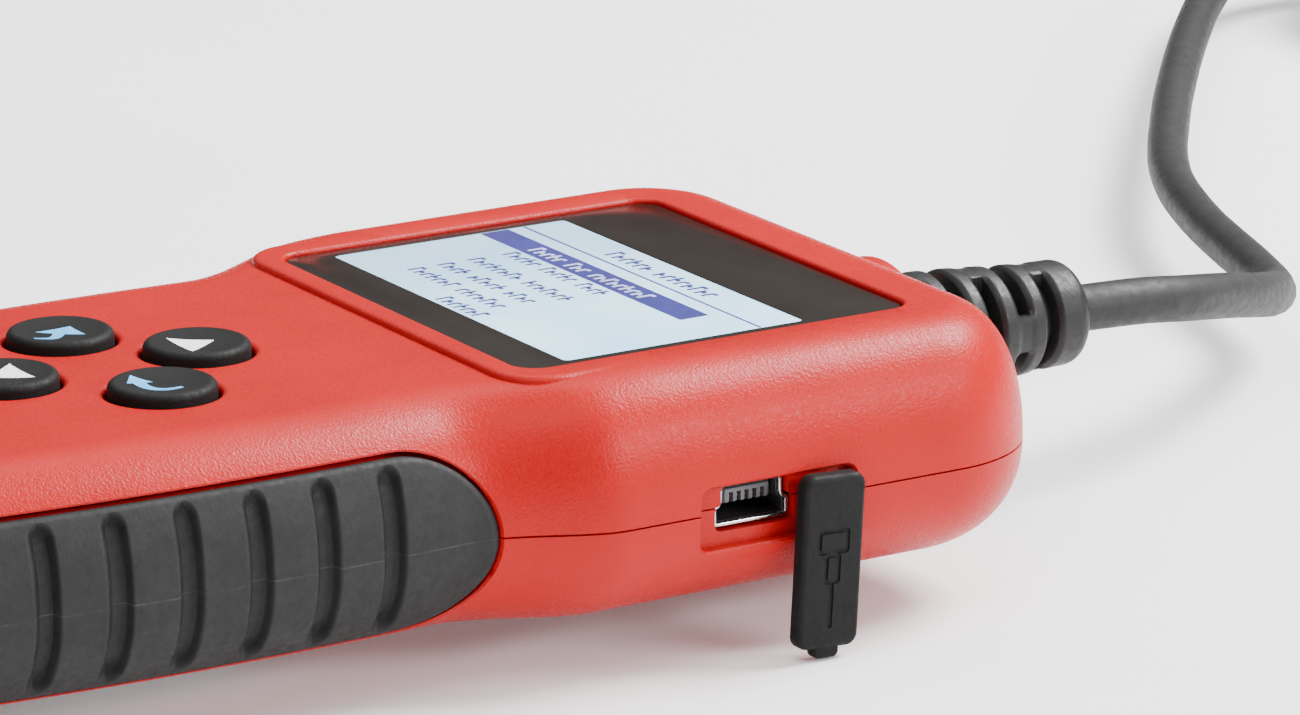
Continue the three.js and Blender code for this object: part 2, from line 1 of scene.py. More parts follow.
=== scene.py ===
"""Looks of a hand-held OBD code reader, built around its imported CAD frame.

Shapes are worked out in millimetres in the row frame and stored in metres: +Y runs to the
cable, +X to the side with the USB port, +Z out of the screen, origin on the flat back.
"""

import math

import bmesh
import bpy
import numpy as np
from mathutils import Matrix, Vector


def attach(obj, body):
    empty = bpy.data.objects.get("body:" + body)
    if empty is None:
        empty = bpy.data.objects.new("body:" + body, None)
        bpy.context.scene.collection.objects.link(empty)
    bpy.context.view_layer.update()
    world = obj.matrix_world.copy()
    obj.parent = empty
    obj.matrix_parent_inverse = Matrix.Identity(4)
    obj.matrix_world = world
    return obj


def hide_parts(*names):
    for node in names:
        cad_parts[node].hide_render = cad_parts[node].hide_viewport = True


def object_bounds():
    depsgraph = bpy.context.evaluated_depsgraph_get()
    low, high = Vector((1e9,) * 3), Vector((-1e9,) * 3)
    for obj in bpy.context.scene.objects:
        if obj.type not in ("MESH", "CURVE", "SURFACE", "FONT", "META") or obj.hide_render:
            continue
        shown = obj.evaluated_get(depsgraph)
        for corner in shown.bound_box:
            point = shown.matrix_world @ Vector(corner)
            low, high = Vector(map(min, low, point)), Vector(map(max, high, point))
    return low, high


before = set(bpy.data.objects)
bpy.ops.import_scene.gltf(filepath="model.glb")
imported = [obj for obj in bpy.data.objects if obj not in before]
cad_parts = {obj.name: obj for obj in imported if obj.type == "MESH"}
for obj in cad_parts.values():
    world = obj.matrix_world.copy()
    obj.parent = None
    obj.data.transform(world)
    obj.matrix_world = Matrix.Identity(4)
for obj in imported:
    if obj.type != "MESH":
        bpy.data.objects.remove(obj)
CAD_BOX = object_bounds()
MM = 0.001

# ---------- driving dimensions, in millimetres ----------
HALF_LENGTH = 62.75
HEAD_HALF_WIDTH = 32.7
HANDLE_HALF_WIDTH = 28.9
HANDLE_TAPER = 1.4
HANDLE_TOP = 21.6
HEAD_TOP = 22.3
MIDDLE = 10.0
PARTING = 9.9
PARTING_GAP = 0.14
WALL = 2.4
HANDLE_SHOULDER = 9.0
HEAD_SHOULDER = 7.4
BOTTOM_SHOULDER = 11.5
ROUNDING = 2.2
HEAD_CORNER = 12.5
HANDLE_CORNER = 15.0
PLATEAU = (-25.3, 25.3, 9.5, 54.5)
PLATEAU_CORNER = 4.5

LENS = (-22.1, 22.1, 12.0, 51.8)
LENS_CORNER = 2.2
LCD = (-20.5, 20.5, 16.9, 41.6)

BUTTONS = {"up": (0, -8.15), "down": (0, -26.85), "back": (-9.55, -16.6), "enter": (9.55, -16.6)}
BUTTON_TOP = 22.6
BUTTON_DISH = 0.3

GRIP_Y = (-55.2, 5.4)
GRIP_Z = (1.4, 18.2)
GRIP_END = 9.4
GRIP_THICKNESS = 1.5
GRIP_PROUD = 0.12
GROOVE_FIRST, GROOVE_PITCH, GROOVE_COUNT = -4.87, 6.47, 7
GROOVE_HALF_LENGTH, GROOVE_HALF_WIDTH, GROOVE_DEPTH = 6.35, 1.25, 1.1

USB_Y = 29.6
USB_Z = (7.91, 11.8)
USB_MOUTH = 30.5
CONTACTS_Y = [USB_Y + (i - 2) * 0.8 for i in range(5)]
RECESS = (23.4, 39.1, 6.4, 12.2)
RECESS_FLOOR = 31.1
FLAP_PIVOT = (35.7, 9.6)
FLAP_LEAN = -3.2
FLAP_FACE = 34.7

CABLE_Z = 11.65
CABLE_RADIUS = 2.25
RELIEF_END = 84.4
COLLAR_END = 64.5
SCREWS = [(17, 47.4), (-17, 47.4), (11.5, -46.5), (-11.5, -46.5)]
LABEL_PLATE = (-13, 13, -36, -8)

AXIS_RADIUS = 0.05  # a ring this small stands for a point on its axis
AROUND = (-50, 50, -80, 80)  # past the body on every side, for cuts
OUTSIDE = 40  # past the body's flank


# ---------- meshes ----------
def add_object(name, data):
    made = bpy.data.objects.new(name, data)
    bpy.context.scene.collection.objects.link(made)
    return made


def make_mesh(name, points, faces, material=None, sharp=35):
    """A mesh object from points in millimetres, smooth except along edges sharper than sharp."""
    mesh = bpy.data.meshes.new(name)
    mesh.from_pydata((np.asarray(points, float) * MM).tolist(), [], [list(map(int, f)) for f in faces])
    mesh.update()
    piece = add_object(name, mesh)
    if material:
        mesh.materials.append(material)
    finish_shading(piece, sharp)
    return piece


def finish_shading(piece, sharp=35):
    piece.data.shade_smooth()
    piece.data.set_sharp_from_angle(angle=math.radians(sharp))


def loft(rings, loop=False):
    """Points and faces of a closed skin over rings of equally many points.

    Each ring read backwards is its own mirror image, so strips between mirrored points cap the
    ends. A loop has no ends: its last ring joins its first.
    """
    count, levels = len(rings[0]), len(rings)
    faces = []
    for level in range(levels if loop else levels - 1):
        for i in range(count):
            a, b = level * count + i, level * count + (i + 1) % count
            above = ((level + 1) % levels - level) * count
            faces.append((a, b, b + above, a + above))
    if not loop:
        for i in range(count // 2 - 1):
            strip = [i, count - 1 - i, count - 2 - i, i + 1]
            faces.append(strip)
            faces.append([k + (levels - 1) * count for k in reversed(strip)])
    return np.vstack([np.asarray(ring, float) for ring in rings]), faces


def joined(name, skins, material=None, sharp=35):
    """One mesh from closed skins, each given as points and faces."""
    points, faces = [], []
    for skin_points, skin_faces in skins:
        faces += [[k + len(points) for k in face] for face in skin_faces]
        points += list(skin_points)
    piece = make_mesh(name, points, faces, material, sharp)
    face_out(piece)
    return piece


def lofted(name, rings, material=None, sharp=35, loop=False):
    return joined(name, [loft(rings, loop)], material, sharp)


def sheet(front, back):
    """Points and faces of a thin solid between two grids of points, closed round the rim."""
    rows, columns = front.shape[:2]
    offset = rows * columns
    faces = []
    for i in range(rows - 1):
        for j in range(columns - 1):
            a = i * columns + j
            quad = (a, a + columns, a + columns + 1, a + 1)
            faces += [quad, tuple(k + offset for k in reversed(quad))]
    rim = [i * columns for i in range(rows)] + [(rows - 1) * columns + j for j in range(1, columns)]
    rim += [i * columns + columns - 1 for i in range(rows - 2, -1, -1)] + list(range(columns - 2, 0, -1))
    faces += [(b, a, a + offset, b + offset) for a, b in zip(rim, rim[1:] + rim[:1])]
    return np.vstack((front.reshape(-1, 3), back.reshape(-1, 3))), faces


def face_out(piece):
    shape = bmesh.new()
    shape.from_mesh(piece.data)
    bmesh.ops.recalc_face_normals(shape, faces=shape.faces)
    shape.to_mesh(piece.data)
    shape.free()


def combine(target, tools, operation="DIFFERENCE"):
    """Cuts, joins or intersects target with each tool, and removes the tools."""
    for tool in tools:
        modifier = target.modifiers.new("combine", "BOOLEAN")
        modifier.operation = operation
        modifier.solver = "MANIFOLD"
        modifier.object = tool
        graph = bpy.context.evaluated_depsgraph_get()
        result = bpy.data.meshes.new_from_object(target.evaluated_get(graph))
        target.modifiers.remove(modifier)
        old = target.data
        target.data = result
        result.name = target.name
        bpy.data.meshes.remove(old)
        bpy.data.objects.remove(tool)
    return target


def coat(piece, material, sharp):
    """Gives a piece one material after its cuts, and smooths it again."""
    piece.data.materials.clear()
    piece.data.materials.append(material)
    finish_shading(piece, sharp)


def spun(profile, axis="Z", sides=64, centre=(0, 0, 0), name="tool", material=None, sharp=35):
    """A solid of (radius, height) pairs turned about an axis; an end that is off the axis is closed flat."""
    angles = np.linspace(0, 2 * math.pi, sides, endpoint=False)
    if profile[0][0] > AXIS_RADIUS:
        profile = [(AXIS_RADIUS, profile[0][1]), *profile]
    if profile[-1][0] > AXIS_RADIUS:
        profile = [*profile, (AXIS_RADIUS, profile[-1][1])]
    rings = []
    for radius, height in profile:
        across, up = radius * np.cos(angles), radius * np.sin(angles)
        along = np.full(sides, float(height))
        columns = {"Z": (across, up, along), "Y": (up, along, across), "X": (along, across, up)}[axis]
        rings.append(np.column_stack(columns) + np.array(centre, float))
    return lofted(name, rings, material, sharp)


def post(x, y, radius, z0, z1, sides):
    """A plain upright cylinder."""
    return spun([(radius, z0), (radius, z1)], "Z", sides, (x, y, 0))


def quarter_arcs(centres, radius, steps):
    """Points of four quarter circles, anticlockwise from the lower right corner."""
    points = []
    for (cx, cy), start in zip(centres, (-90, 0, 90, 180)):
        for i in range(steps + 1):
            angle = math.radians(start + 90 * i / steps)
            points.append((cx + radius * math.cos(angle), cy + radius * math.sin(angle)))
    return np.array(points)


def rounded_rectangle(x0, x1, y0, y1, radius, grow=0.0, steps=8):
    """Points of a rounded rectangle, grown outwards by grow."""
    left, right, low, high = x0 + radius, x1 - radius, y0 + radius, y1 - radius
    centres = ((right, low), (right, high), (left, high), (left, low))
    return quarter_arcs(centres, max(radius + grow, 0.02), steps)


def at_z(z, outline):
    """A ring of points: an outline in (x, y) placed at one height."""
    return np.column_stack((outline, np.full(len(outline), z)))


def at_x(x, outline):
    """A ring of points: an outline in (y, z) placed at one x."""
    return np.column_stack((np.full(len(outline), x), outline))


def rectangle_rings(x0, x1, y0, y1, radius, profile, steps=8):
    """Rings of a rounded rectangle, one for each (offset, height) of the profile."""
    return [at_z(z, rounded_rectangle(x0, x1, y0, y1, radius, offset, steps)) for offset, z in profile]


def side_rings(y0, y1, z0, z1, radius, profile, steps=6):
    """As rectangle_rings, drawn in (y, z), one ring for each (offset, x) of the profile."""
    return [at_x(x, rounded_rectangle(y0, y1, z0, z1, radius, offset, steps)) for offset, x in profile]


def box(x0, x1, y0, y1, z0, z1):
    return lofted("box", [[(x0, y0, z), (x1, y0, z), (x1, y1, z), (x0, y1, z)] for z in (z0, z1)])


def smoothstep(value, low, high):
    """0 below low, 1 above high, and smooth between them."""
    t = np.clip((value - low) / (high - low), 0, 1)
    return t * t * (3 - 2 * t)


# ---------- the body's form ----------
def plan_half_width(y):
    handle = HANDLE_HALF_WIDTH - HANDLE_TAPER * ((y + 15) / 27) ** 2
    blend = smoothstep(y, 2, 16)
    return handle * (1 - blend) + HEAD_HALF_WIDTH * blend


def top_height(y):
    return HANDLE_TOP + (HEAD_TOP - HANDLE_TOP) * smoothstep(y, 4, 22)


def top_shoulder(y):
    return HANDLE_SHOULDER + (HEAD_SHOULDER - HANDLE_SHOULDER) * smoothstep(y, 4, 22)


def inward(step):
    """How far a rounded edge has turned in, from 0 at its foot to 1 at the flat."""
    return 1 - (1 - np.clip(step, 0, 1) ** ROUNDING) ** (1 / ROUNDING)


def plan_outline(side_step=1.0, corner_steps=22):
    """Points of the plan outline and their outward directions, anticlockwise."""
    points, out = [], []

    def corner(cy, radius, start):
        cx = plan_half_width(cy) - radius
        for angle in np.radians(np.linspace(start, start + 90, corner_steps + 1)):
            points.append((cx + radius * math.cos(angle), cy + radius * math.sin(angle)))
            out.append((math.cos(angle), math.sin(angle)))

    def end(y, x0, x1, direction):
        for x in np.linspace(x0, x1, max(3, int(abs(x1 - x0) / side_step)))[1:-1]:
            points.append((x, y))
            out.append((0, direction))

    low, high = HANDLE_CORNER - HALF_LENGTH, HALF_LENGTH - HEAD_CORNER
    end(-HALF_LENGTH, 0, plan_half_width(low) - HANDLE_CORNER, -1)
    corner(low, HANDLE_CORNER, -90)
    for y in np.linspace(low, high, int((high - low) / side_step))[1:-1]:
        points.append((plan_half_width(y), y))
        out.append((1, 0))
    corner(high, HEAD_CORNER, 0)
    end(HALF_LENGTH, plan_half_width(high) - HEAD_CORNER, 0, 1)
    right, right_out = np.array(points), np.array(out)
    mirror = np.array([-1, 1])
    return np.vstack((right, (right * mirror)[::-1])), np.vstack((right_out, (right_out * mirror)[::-1]))


def body_rings(grow=0.0, levels=20, side_step=1.0, corner_steps=22):
    points, out = plan_outline(side_step, corner_steps)
    shoulder, height = top_shoulder(points[:, 1]), top_height(points[:, 1]) - MIDDLE
    steps = np.sin(np.linspace(0, math.pi / 2, levels + 1)) ** (2 / ROUNDING)
    rings = []
    for step in steps[:0:-1]:
        inset = (BOTTOM_SHOULDER + grow) * inward(step) - grow
        z = np.full(len(points), MIDDLE - (MIDDLE + grow) * step)
        rings.append(np.column_stack((points - inset * out, z)))
    for step in steps:
        inset = (shoulder + grow) * inward(step) - grow
        z = MIDDLE + (height + grow) * step
        rings.append(np.column_stack((points - inset[:, None] * out, z)))
    return rings


def side_x(y, z):
    """The right flank's distance from the middle plane at a place on it."""
    up = (z - MIDDLE) / (top_height(y) - MIDDLE)
    down = (MIDDLE - z) / MIDDLE
    inset = np.where(z > MIDDLE, top_shoulder(y) * inward(up), BOTTOM_SHOULDER * inward(down))
    straight = plan_half_width(y) - inset
    low = HANDLE_CORNER - HALF_LENGTH
    reach = HANDLE_CORNER - inset
    past = np.minimum(y - low, 0)
    centre = plan_half_width(low) - HANDLE_CORNER
    corner = centre + np.sqrt(np.maximum(reach ** 2 - past ** 2, 0))
    return np.where(y < low, corner, straight)


def flank(y, z, depth):
    """Points on the right flank, moved along its normal by minus depth."""
    y, z = np.asarray(y, float), np.asarray(z, float)
    h = 0.01
    dy = (side_x(y + h, z) - side_x(y - h, z)) / (2 * h)
    dz = (side_x(y, z + h) - side_x(y, z - h)) / (2 * h)
    normal = np.stack((np.ones_like(dy), -dy, -dz), axis=-1)
    normal /= np.linalg.norm(normal, axis=-1, keepdims=True)
    surface = np.stack((side_x(y, z), y, z), axis=-1)
    return surface - np.asarray(depth, float)[..., None] * normal


# ---------- materials ----------
class Paint:
    """A node material with a principled shader, and short names for what is wired to it."""

    def __init__(self, name, color, roughness, metallic=0.0, specular=0.5):
        self.material = bpy.data.materials.new(name)
        self.material.use_nodes = True
        self.tree = self.material.node_tree
        self.shader = self.tree.nodes["Principled BSDF"]
        self.put("Base Color", (*color, 1))
        self.put("Roughness", roughness)
        self.put("Metallic", metallic)
        self.put("Specular IOR Level", specular)
        self.place = self.node("ShaderNodeTexCoord").outputs["Object"]
        self.bumps = None

    def put(self, socket, value):
        self.shader.inputs[socket].default_value = value

    def node(self, kind, **settings):
        node = self.tree.nodes.new(kind)
        for name, value in settings.items():
            if name in node.inputs:
                node.inputs[name].default_value = value
            else:
                setattr(node, name, value)
        return node

    def link(self, source, target):
        self.tree.links.new(source, target)

    def noise(self, size, detail=3.0, stretch=(1, 1, 1)):
        """Noise with features of about size millimetres, from 0 to 1."""
        mapping = self.node("ShaderNodeMapping")
        mapping.inputs["Scale"].default_value = stretch
        noise = self.node("ShaderNodeTexNoise", Scale=1 / (size * MM), Detail=detail)
        self.link(self.place, mapping.inputs["Vector"])
        self.link(mapping.outputs["Vector"], noise.inputs["Vector"])
        return noise.outputs["Fac"]

    def ramp(self, source, stops):
        """Two colours at two places, (place, colour) each, blended by the source."""
        ramp = self.node("ShaderNodeValToRGB")
        for element, (position, color) in zip(ramp.color_ramp.elements, stops):
            element.position = position
            element.color = (*color, 1)
        self.link(source, ramp.inputs["Fac"])
        return ramp.outputs["Color"]

    def span(self, source, low, high, to_low, to_high):
        span = self.node("ShaderNodeMapRange")
        for name, value in zip(("From Min", "From Max", "To Min", "To Max"), (low, high, to_low, to_high)):
            span.inputs[name].default_value = value
        self.link(source, span.inputs["Value"])
        return span.outputs["Result"]

    def math(self, operation, a, b=0.0):
        node = self.node("ShaderNodeMath", operation=operation)
        for socket, value in zip(node.inputs, (a, b)):
            if isinstance(value, (int, float)):
                socket.default_value = value
            else:
                self.link(value, socket)
        return node.outputs["Value"]

    def axis(self, name):
        split = self.node("ShaderNodeSeparateXYZ")
        self.link(self.place, split.inputs["Vector"])
        return split.outputs[name]

    def color(self, source):
        self.link(source, self.shader.inputs["Base Color"])

    def bump(self, height, depth):
        """Relief of depth millimetres."""
        bump = self.node("ShaderNodeBump", Strength=1.0, Distance=depth * MM)
        self.link(height, bump.inputs["Height"])
        if self.bumps:
            self.link(self.bumps, bump.inputs["Normal"])
        self.bumps = bump.outputs["Normal"]
        self.link(self.bumps, self.shader.inputs["Normal"])

    def tint(self, size, detail, low, high, low_at=0.3, high_at=0.7):
        """A colour that wanders between two shades."""
        shade = self.ramp(self.noise(size, detail), [(low_at, low), (high_at, high)])
        self.color(shade)
        return shade

    def polish(self, size, detail, low, high, low_at=0.3, stretch=(1, 1, 1)):
        """A roughness that wanders between two values."""
        wander = self.span(self.noise(size, detail, stretch), low_at, 0.7, low, high)
        self.link(wander, self.shader.inputs["Roughness"])


def red_plastic():
    paint = Paint("red_plastic", (0.4, 0.003, 0.0035), 0.38, specular=0.17)
    paint.tint(9, 2, (0.37, 0.0028, 0.003), (0.41, 0.0036, 0.0042))
    paint.polish(0.5, 2, 0.28, 0.46)
    paint.bump(paint.noise(0.26, 1), 0.045)
    return paint.material


def rubber(name, level, grain=0.35, seam=None, specular=0.2, roughness=0.62):
    """Moulded black rubber; seam is the height of a faint, broken mould line."""
    paint = Paint(name, (level, level, level * 1.03), roughness, specular=specular)
    dark, light = level * 0.85, level * 1.2
    tone = paint.tint(3, 4, (dark, dark, dark), (light, light, light * 1.04))
    if seam:
        line = paint.math("ABSOLUTE", paint.math("SUBTRACT", paint.axis("Z"), seam * MM))
        mask = paint.span(line, 0, 0.09 * MM, 0.55, 0)
        mix = paint.node("ShaderNodeMix", data_type="RGBA")
        mix.inputs["B"].default_value = (0.07, 0.07, 0.075, 1)
        broken = paint.math("MULTIPLY", mask, paint.span(paint.noise(2.5, 2), 0.4, 0.65, 0.15, 1))
        paint.link(broken, mix.inputs["Factor"])
        paint.link(tone, mix.inputs["A"])
        paint.color(mix.outputs["Result"])
    paint.polish(grain * 2, 3, roughness - 0.1, roughness + 0.1)
    paint.bump(paint.noise(grain, 3), 0.03)
    return paint.material


def shades(color, dark, light):
    """A darker and a lighter shade of a colour."""
    return [tuple(c * factor for c in color) for factor in (dark, light)]


def plastic(name, color, roughness=0.45, grain=0.3, depth=0.012):
    paint = Paint(name, color, roughness)
    paint.tint(4, 3, *shades(color, 0.92, 1.08))
    paint.polish(grain * 3, 2, roughness * 0.85, roughness * 1.15)
    paint.bump(paint.noise(grain, 3), depth)
    return paint.material


def metal(name, color, roughness, stretch=(1, 12, 12)):
    """Metal with fine drawn streaks along X."""
    paint = Paint(name, color, roughness, metallic=1.0)
    paint.tint(1.5, 3, *shades(color, 0.88, 1.06))
    paint.polish(0.8, 3, roughness * 0.7, roughness * 1.4, stretch=stretch)
    paint.bump(paint.noise(0.3, 2, stretch), 0.003)
    return paint.material


def lens_print():
    paint = Paint("lens_print", (0.012, 0.008, 0.006), 0.2, specular=0.2)
    paint.tint(6, 2, (0.011, 0.0072, 0.0055), (0.014, 0.01, 0.0075))
    paint.polish(5, 4, 0.14, 0.3, low_at=0.35)
    return paint.material


def display_light():
    """The lit panel: pale blue in soft patches, with the grid of its dots."""
    paint = Paint("display_light", (0.5, 0.68, 0.8), 0.25)
    glow = paint.tint(14, 2, (0.32, 0.61, 0.85), (0.5, 0.76, 0.92), 0.25, 0.75)
    paint.link(glow, paint.shader.inputs["Emission Color"])
    paint.put("Emission Strength", 0.64)
    dots = [paint.math("FRACT", paint.math("MULTIPLY", paint.axis(a), 1 / (0.32 * MM))) for a in "XY"]
    edge = paint.math("MINIMUM", *[paint.math("ABSOLUTE", paint.math("SUBTRACT", d, 0.5)) for d in dots])
    paint.bump(paint.span(edge, 0, 0.08, 0, 1), 0.002)
    return paint.material


def cable_sheath():
    paint = Paint("cable_sheath", (0.02, 0.02, 0.02), 0.55, specular=0.3)
    paint.tint(2, 4, (0.011, 0.0105, 0.0105), (0.018, 0.0172, 0.0172))
    paint.polish(0.9, 3, 0.48, 0.66)
    paint.bump(paint.noise(0.5, 3), 0.02)
    return paint.material


def strap_weave():
    paint = Paint("strap_weave", (0.025, 0.025, 0.028), 0.85, specular=0.3)
    wave = paint.node("ShaderNodeTexWave", Scale=1 / (1.6 * MM), Distortion=1.5)
    paint.link(paint.place, wave.inputs["Vector"])
    paint.color(paint.ramp(wave.outputs["Fac"], [(0.2, (0.016, 0.016, 0.018)), (0.8, (0.05, 0.05, 0.055))]))
    paint.bump(wave.outputs["Fac"], 0.12)
    paint.bump(paint.noise(0.25, 4), 0.08)
    paint.put("Sheen Weight", 0.3)
    return paint.material


RED = red_plastic()
GRIP_RUBBER = rubber("grip_rubber", 0.015, 0.3, seam=PARTING)
KEY_RUBBER = rubber("key_rubber", 0.007, 0.25, specular=0.16)
FLAP_RUBBER = rubber("flap_rubber", 0.006, 0.28, specular=0.14)
RELIEF_RUBBER = rubber("relief_rubber", 0.0085, 0.35, specular=0.28, roughness=0.46)
PLUG_PLASTIC = plastic("plug_plastic", (0.03, 0.03, 0.032), 0.5, 0.4, 0.03)
CHIP = plastic("chip_black", (0.02, 0.02, 0.022), 0.55)
TONGUE = plastic("tongue_grey", (0.09, 0.088, 0.1), 0.4)
WHITE = plastic("white_plastic", (0.8, 0.78, 0.72), 0.45)
BOARD = plastic("board_green", (0.02, 0.12, 0.045), 0.3, 1.2, 0.02)
LABEL = plastic("label_grey", (0.5, 0.52, 0.54), 0.35)
STEEL = metal("bright_steel", (0.72, 0.71, 0.69), 0.22)
GOLD = metal("contact_gold", (0.85, 0.62, 0.25), 0.25)
WHITE_INK = plastic("white_ink", (0.92, 0.92, 0.9), 0.5, 0.3, 0.006)
BLUE_INK = plastic("blue_ink", (0.09, 0.43, 0.8), 0.5, 0.3, 0.006)
NAVY_INK = plastic("navy_ink", (0.035, 0.035, 0.2), 0.3, 0.3, 0.003)
PALE_INK = plastic("pale_ink", (0.5, 0.58, 0.82), 0.3, 0.3, 0.003)
LENS_PRINT = lens_print()
DISPLAY = display_light()
CABLE = cable_sheath()
STRAP = strap_weave()


def place(piece, slot, *nodes, body="reader"):
    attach(piece, body)
    if nodes:
        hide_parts(*nodes)
    return piece


def even_shading(piece):
    """Lets large flat faces keep their own direction beside rounded edges."""
    weights = piece.modifiers.new("even_shading", "WEIGHTED_NORMAL")
    weights.keep_sharp = True
    weights.weight = 90


# ---------- camera ----------
TARGET = Vector((23.75, 23.5, 22.0)) * MM
DISTANCE = 585.7 * MM
AZIMUTH, ELEVATION = math.radians(58.12), math.radians(15.97)


def direction_to(azimuth, elevation):
    """The direction to a place round the reader, from its handle end towards its USB side."""
    level = math.cos(elevation)
    return Vector((math.sin(azimuth) * level, -math.cos(azimuth) * level, math.sin(elevation)))


def aim(thing, back, distance):
    """Sets a camera or a lamp at a distance from the target, looking at it."""
    thing.location = TARGET + back * distance
    thing.rotation_mode = "QUATERNION"
    thing.rotation_quaternion = (-back).to_track_quat("-Z", "Y")


camera = add_object("camera", bpy.data.cameras.new("camera"))
camera.data.lens = 187.44
camera.data.sensor_width = 36
aim(camera, direction_to(AZIMUTH, ELEVATION), DISTANCE)
camera.data.clip_start, camera.data.clip_end = 0.01, 10
bpy.context.scene.camera = camera

# ---------- the lead ----------
ROUTE = [
    (0, 84.7, 11.65), (0, 93.5, 11.3), (-0.8, 98.3, 10.6), (-2.9, 103, 9.6), (-5.9, 108, 8.3),
    (-9.3, 113, 6.8), (-13, 117.6, 5.3), (-16.9, 121.6, 3.9), (-20.9, 125, 2.8), (-26, 127.9, 2.3),
    (-32, 130.2, 2.3), (-38.5, 132.5, 2.3), (-45.5, 135.1, 2.3), (-53, 138.3, 2.3), (-60.6, 142, 2.3),
    (-68, 146.4, 2.3), (-75.5, 151.6, 2.3), (-83.5, 157.7, 2.3), (-91.5, 163.9, 2.3),
    (-99.5, 170.4, 2.3), (-107.5, 177, 2.3), (-115.5, 183.8, 2.3), (-123.5, 190.8, 2.3),
    (-131, 197.7, 2.3), (-137.6, 204.4, 2.35), (-143, 212, 2.5), (-146.4, 220.4, 2.8),
    (-147.4, 231, 3.1),
]
COIL = (-119.5, 246.0)
COIL_INNER, COIL_OUTER = 22.7, 27.2
COIL_LIFT = 0.9
COIL_LOW, COIL_HIGH = COIL_LIFT + CABLE_RADIUS, COIL_LIFT + 3 * CABLE_RADIUS
COIL_ENTRY = 189
PLUG_X = COIL[0] + 36
PLUG_Y = COIL[1] + COIL_OUTER
PLUG_AXIS = 12.0


def coil_points():
    """Three turns and part of a fourth, clockwise: two side by side, then the rest on top of them."""
    points = []
    for turned_by in range(0, 3 * 360 + COIL_ENTRY - 90 + 1, 6):
        turn, part = divmod(turned_by, 360)
        radius, height = COIL_OUTER, COIL_LOW
        crossing = COIL_OUTER - COIL_INNER
        if turn == 0:
            radius -= crossing * smoothstep(part, 305, 360)
        elif turn == 1:
            radius = COIL_INNER
            height += (COIL_HIGH - COIL_LOW) * smoothstep(part, 250, 308)
        else:
            height = COIL_HIGH
            if turn == 2:
                radius -= crossing * (1 - smoothstep(part, 195, 250))
        angle = math.radians(COIL_ENTRY - turned_by)
        points.append((COIL[0] + radius * math.cos(angle), COIL[1] + radius * math.sin(angle), height))
    return points


def through(points, spacing=1.5):
    """A smooth centripetal Catmull-Rom line through the points, with a point about every spacing."""
    points = [Vector(p) for p in points]
    points = [2 * points[0] - points[1], *points, 2 * points[-1] - points[-2]]
    line = []
    for corners in zip(points, points[1:], points[2:], points[3:]):
        knots = [0.0]
        for p, q in zip(corners, corners[1:]):
            knots.append(knots[-1] + max((q - p).length, 1e-6) ** 0.5)
        steps = max(1, round((corners[2] - corners[1]).length / spacing))
        for i in range(steps):
            t = knots[1] + (knots[2] - knots[1]) * i / steps
            row = corners
            for lows, highs in ((knots, knots[1:]), (knots, knots[2:]), (knots[1:], knots[2:])):
                row = [p.lerp(q, (t - low) / (high - low))
                       for p, q, low, high in zip(row, row[1:], lows, highs)]
            line.append(row[0])
    return line + [points[-2]]


TAIL = [(COIL[0] + 8, PLUG_Y, COIL_HIGH + 0.15), (COIL[0] + 17.5, PLUG_Y, COIL_HIGH + 1.2),
        (COIL[0] + 26, PLUG_Y, PLUG_AXIS - 0.9), (PLUG_X - 2, PLUG_Y, PLUG_AXIS - 0.05),
        (PLUG_X + 3, PLUG_Y, PLUG_AXIS)]
cord_line = through([(0, 83.8, CABLE_Z), *ROUTE, *coil_points(), *TAIL])
cord_curve = bpy.data.curves.new("cord", "CURVE")
cord_curve.dimensions = "3D"
cord_curve.bevel_depth = CABLE_RADIUS * MM
cord_curve.bevel_resolution = 6
cord_curve.use_fill_caps = True
cord_spline = cord_curve.splines.new("POLY")
cord_spline.points.add(len(cord_line) - 1)
for point, spot in zip(cord_spline.points, cord_line):
    point.co = (*(spot * MM), 1)
cord_spline.use_smooth = True
cord_curve.materials.append(CABLE)
cord = add_object("cord", cord_curve)
place(cord, "cable_grey", "cord_tube", "cord_coil", "cord_tail")


def strap():
    """The tie: a flat strap in a closed loop round the coil's section."""
    inner, outer = COIL_INNER - CABLE_RADIUS - 1, COIL_OUTER + CABLE_RADIUS + 0.5
    low, high = COIL_LIFT - 0.25, COIL_LIFT + 4 * CABLE_RADIUS + 0.4
    angle = math.radians(-55)
    out = np.array((math.cos(angle), math.sin(angle)))
    side = np.array((-out[1], out[0]))
    rings = []
    for across, grow in ((-4.5, 0.1), (-4.4, 0), (4.4, 0), (4.5, 0.1), (4.5, 0.6), (4.4, 0.7), (-4.4, 0.7),
                         (-4.5, 0.6)):
        section = rounded_rectangle(inner, outer, low, high, 1.2, grow, 6)
        flat = np.array(COIL) + section[:, :1] * out + across * side
        rings.append(np.column_stack((flat, section[:, 1])))
    return lofted("cord_strap", rings, STRAP, loop=True)


cord_strap = place(strap(), "tie_black", "cord_tie")


# ---------- the plug ----------
PLUG_COVER = (PLUG_X + 20, PLUG_X + 58)
PLUG_FULL = 2 * PLUG_AXIS - 0.3


def plug_section(x, wide, narrow, height, radius):
    """A D-shaped section across the plug, its wide side down."""
    low, high = radius - height / 2, height / 2 - radius
    centres = ((wide / 2 - radius, low), (narrow / 2 - radius, high), (radius - narrow / 2, high),
               (radius - wide / 2, low))
    return at_x(x, quarter_arcs(centres, radius, 10) + (PLUG_Y, PLUG_AXIS))


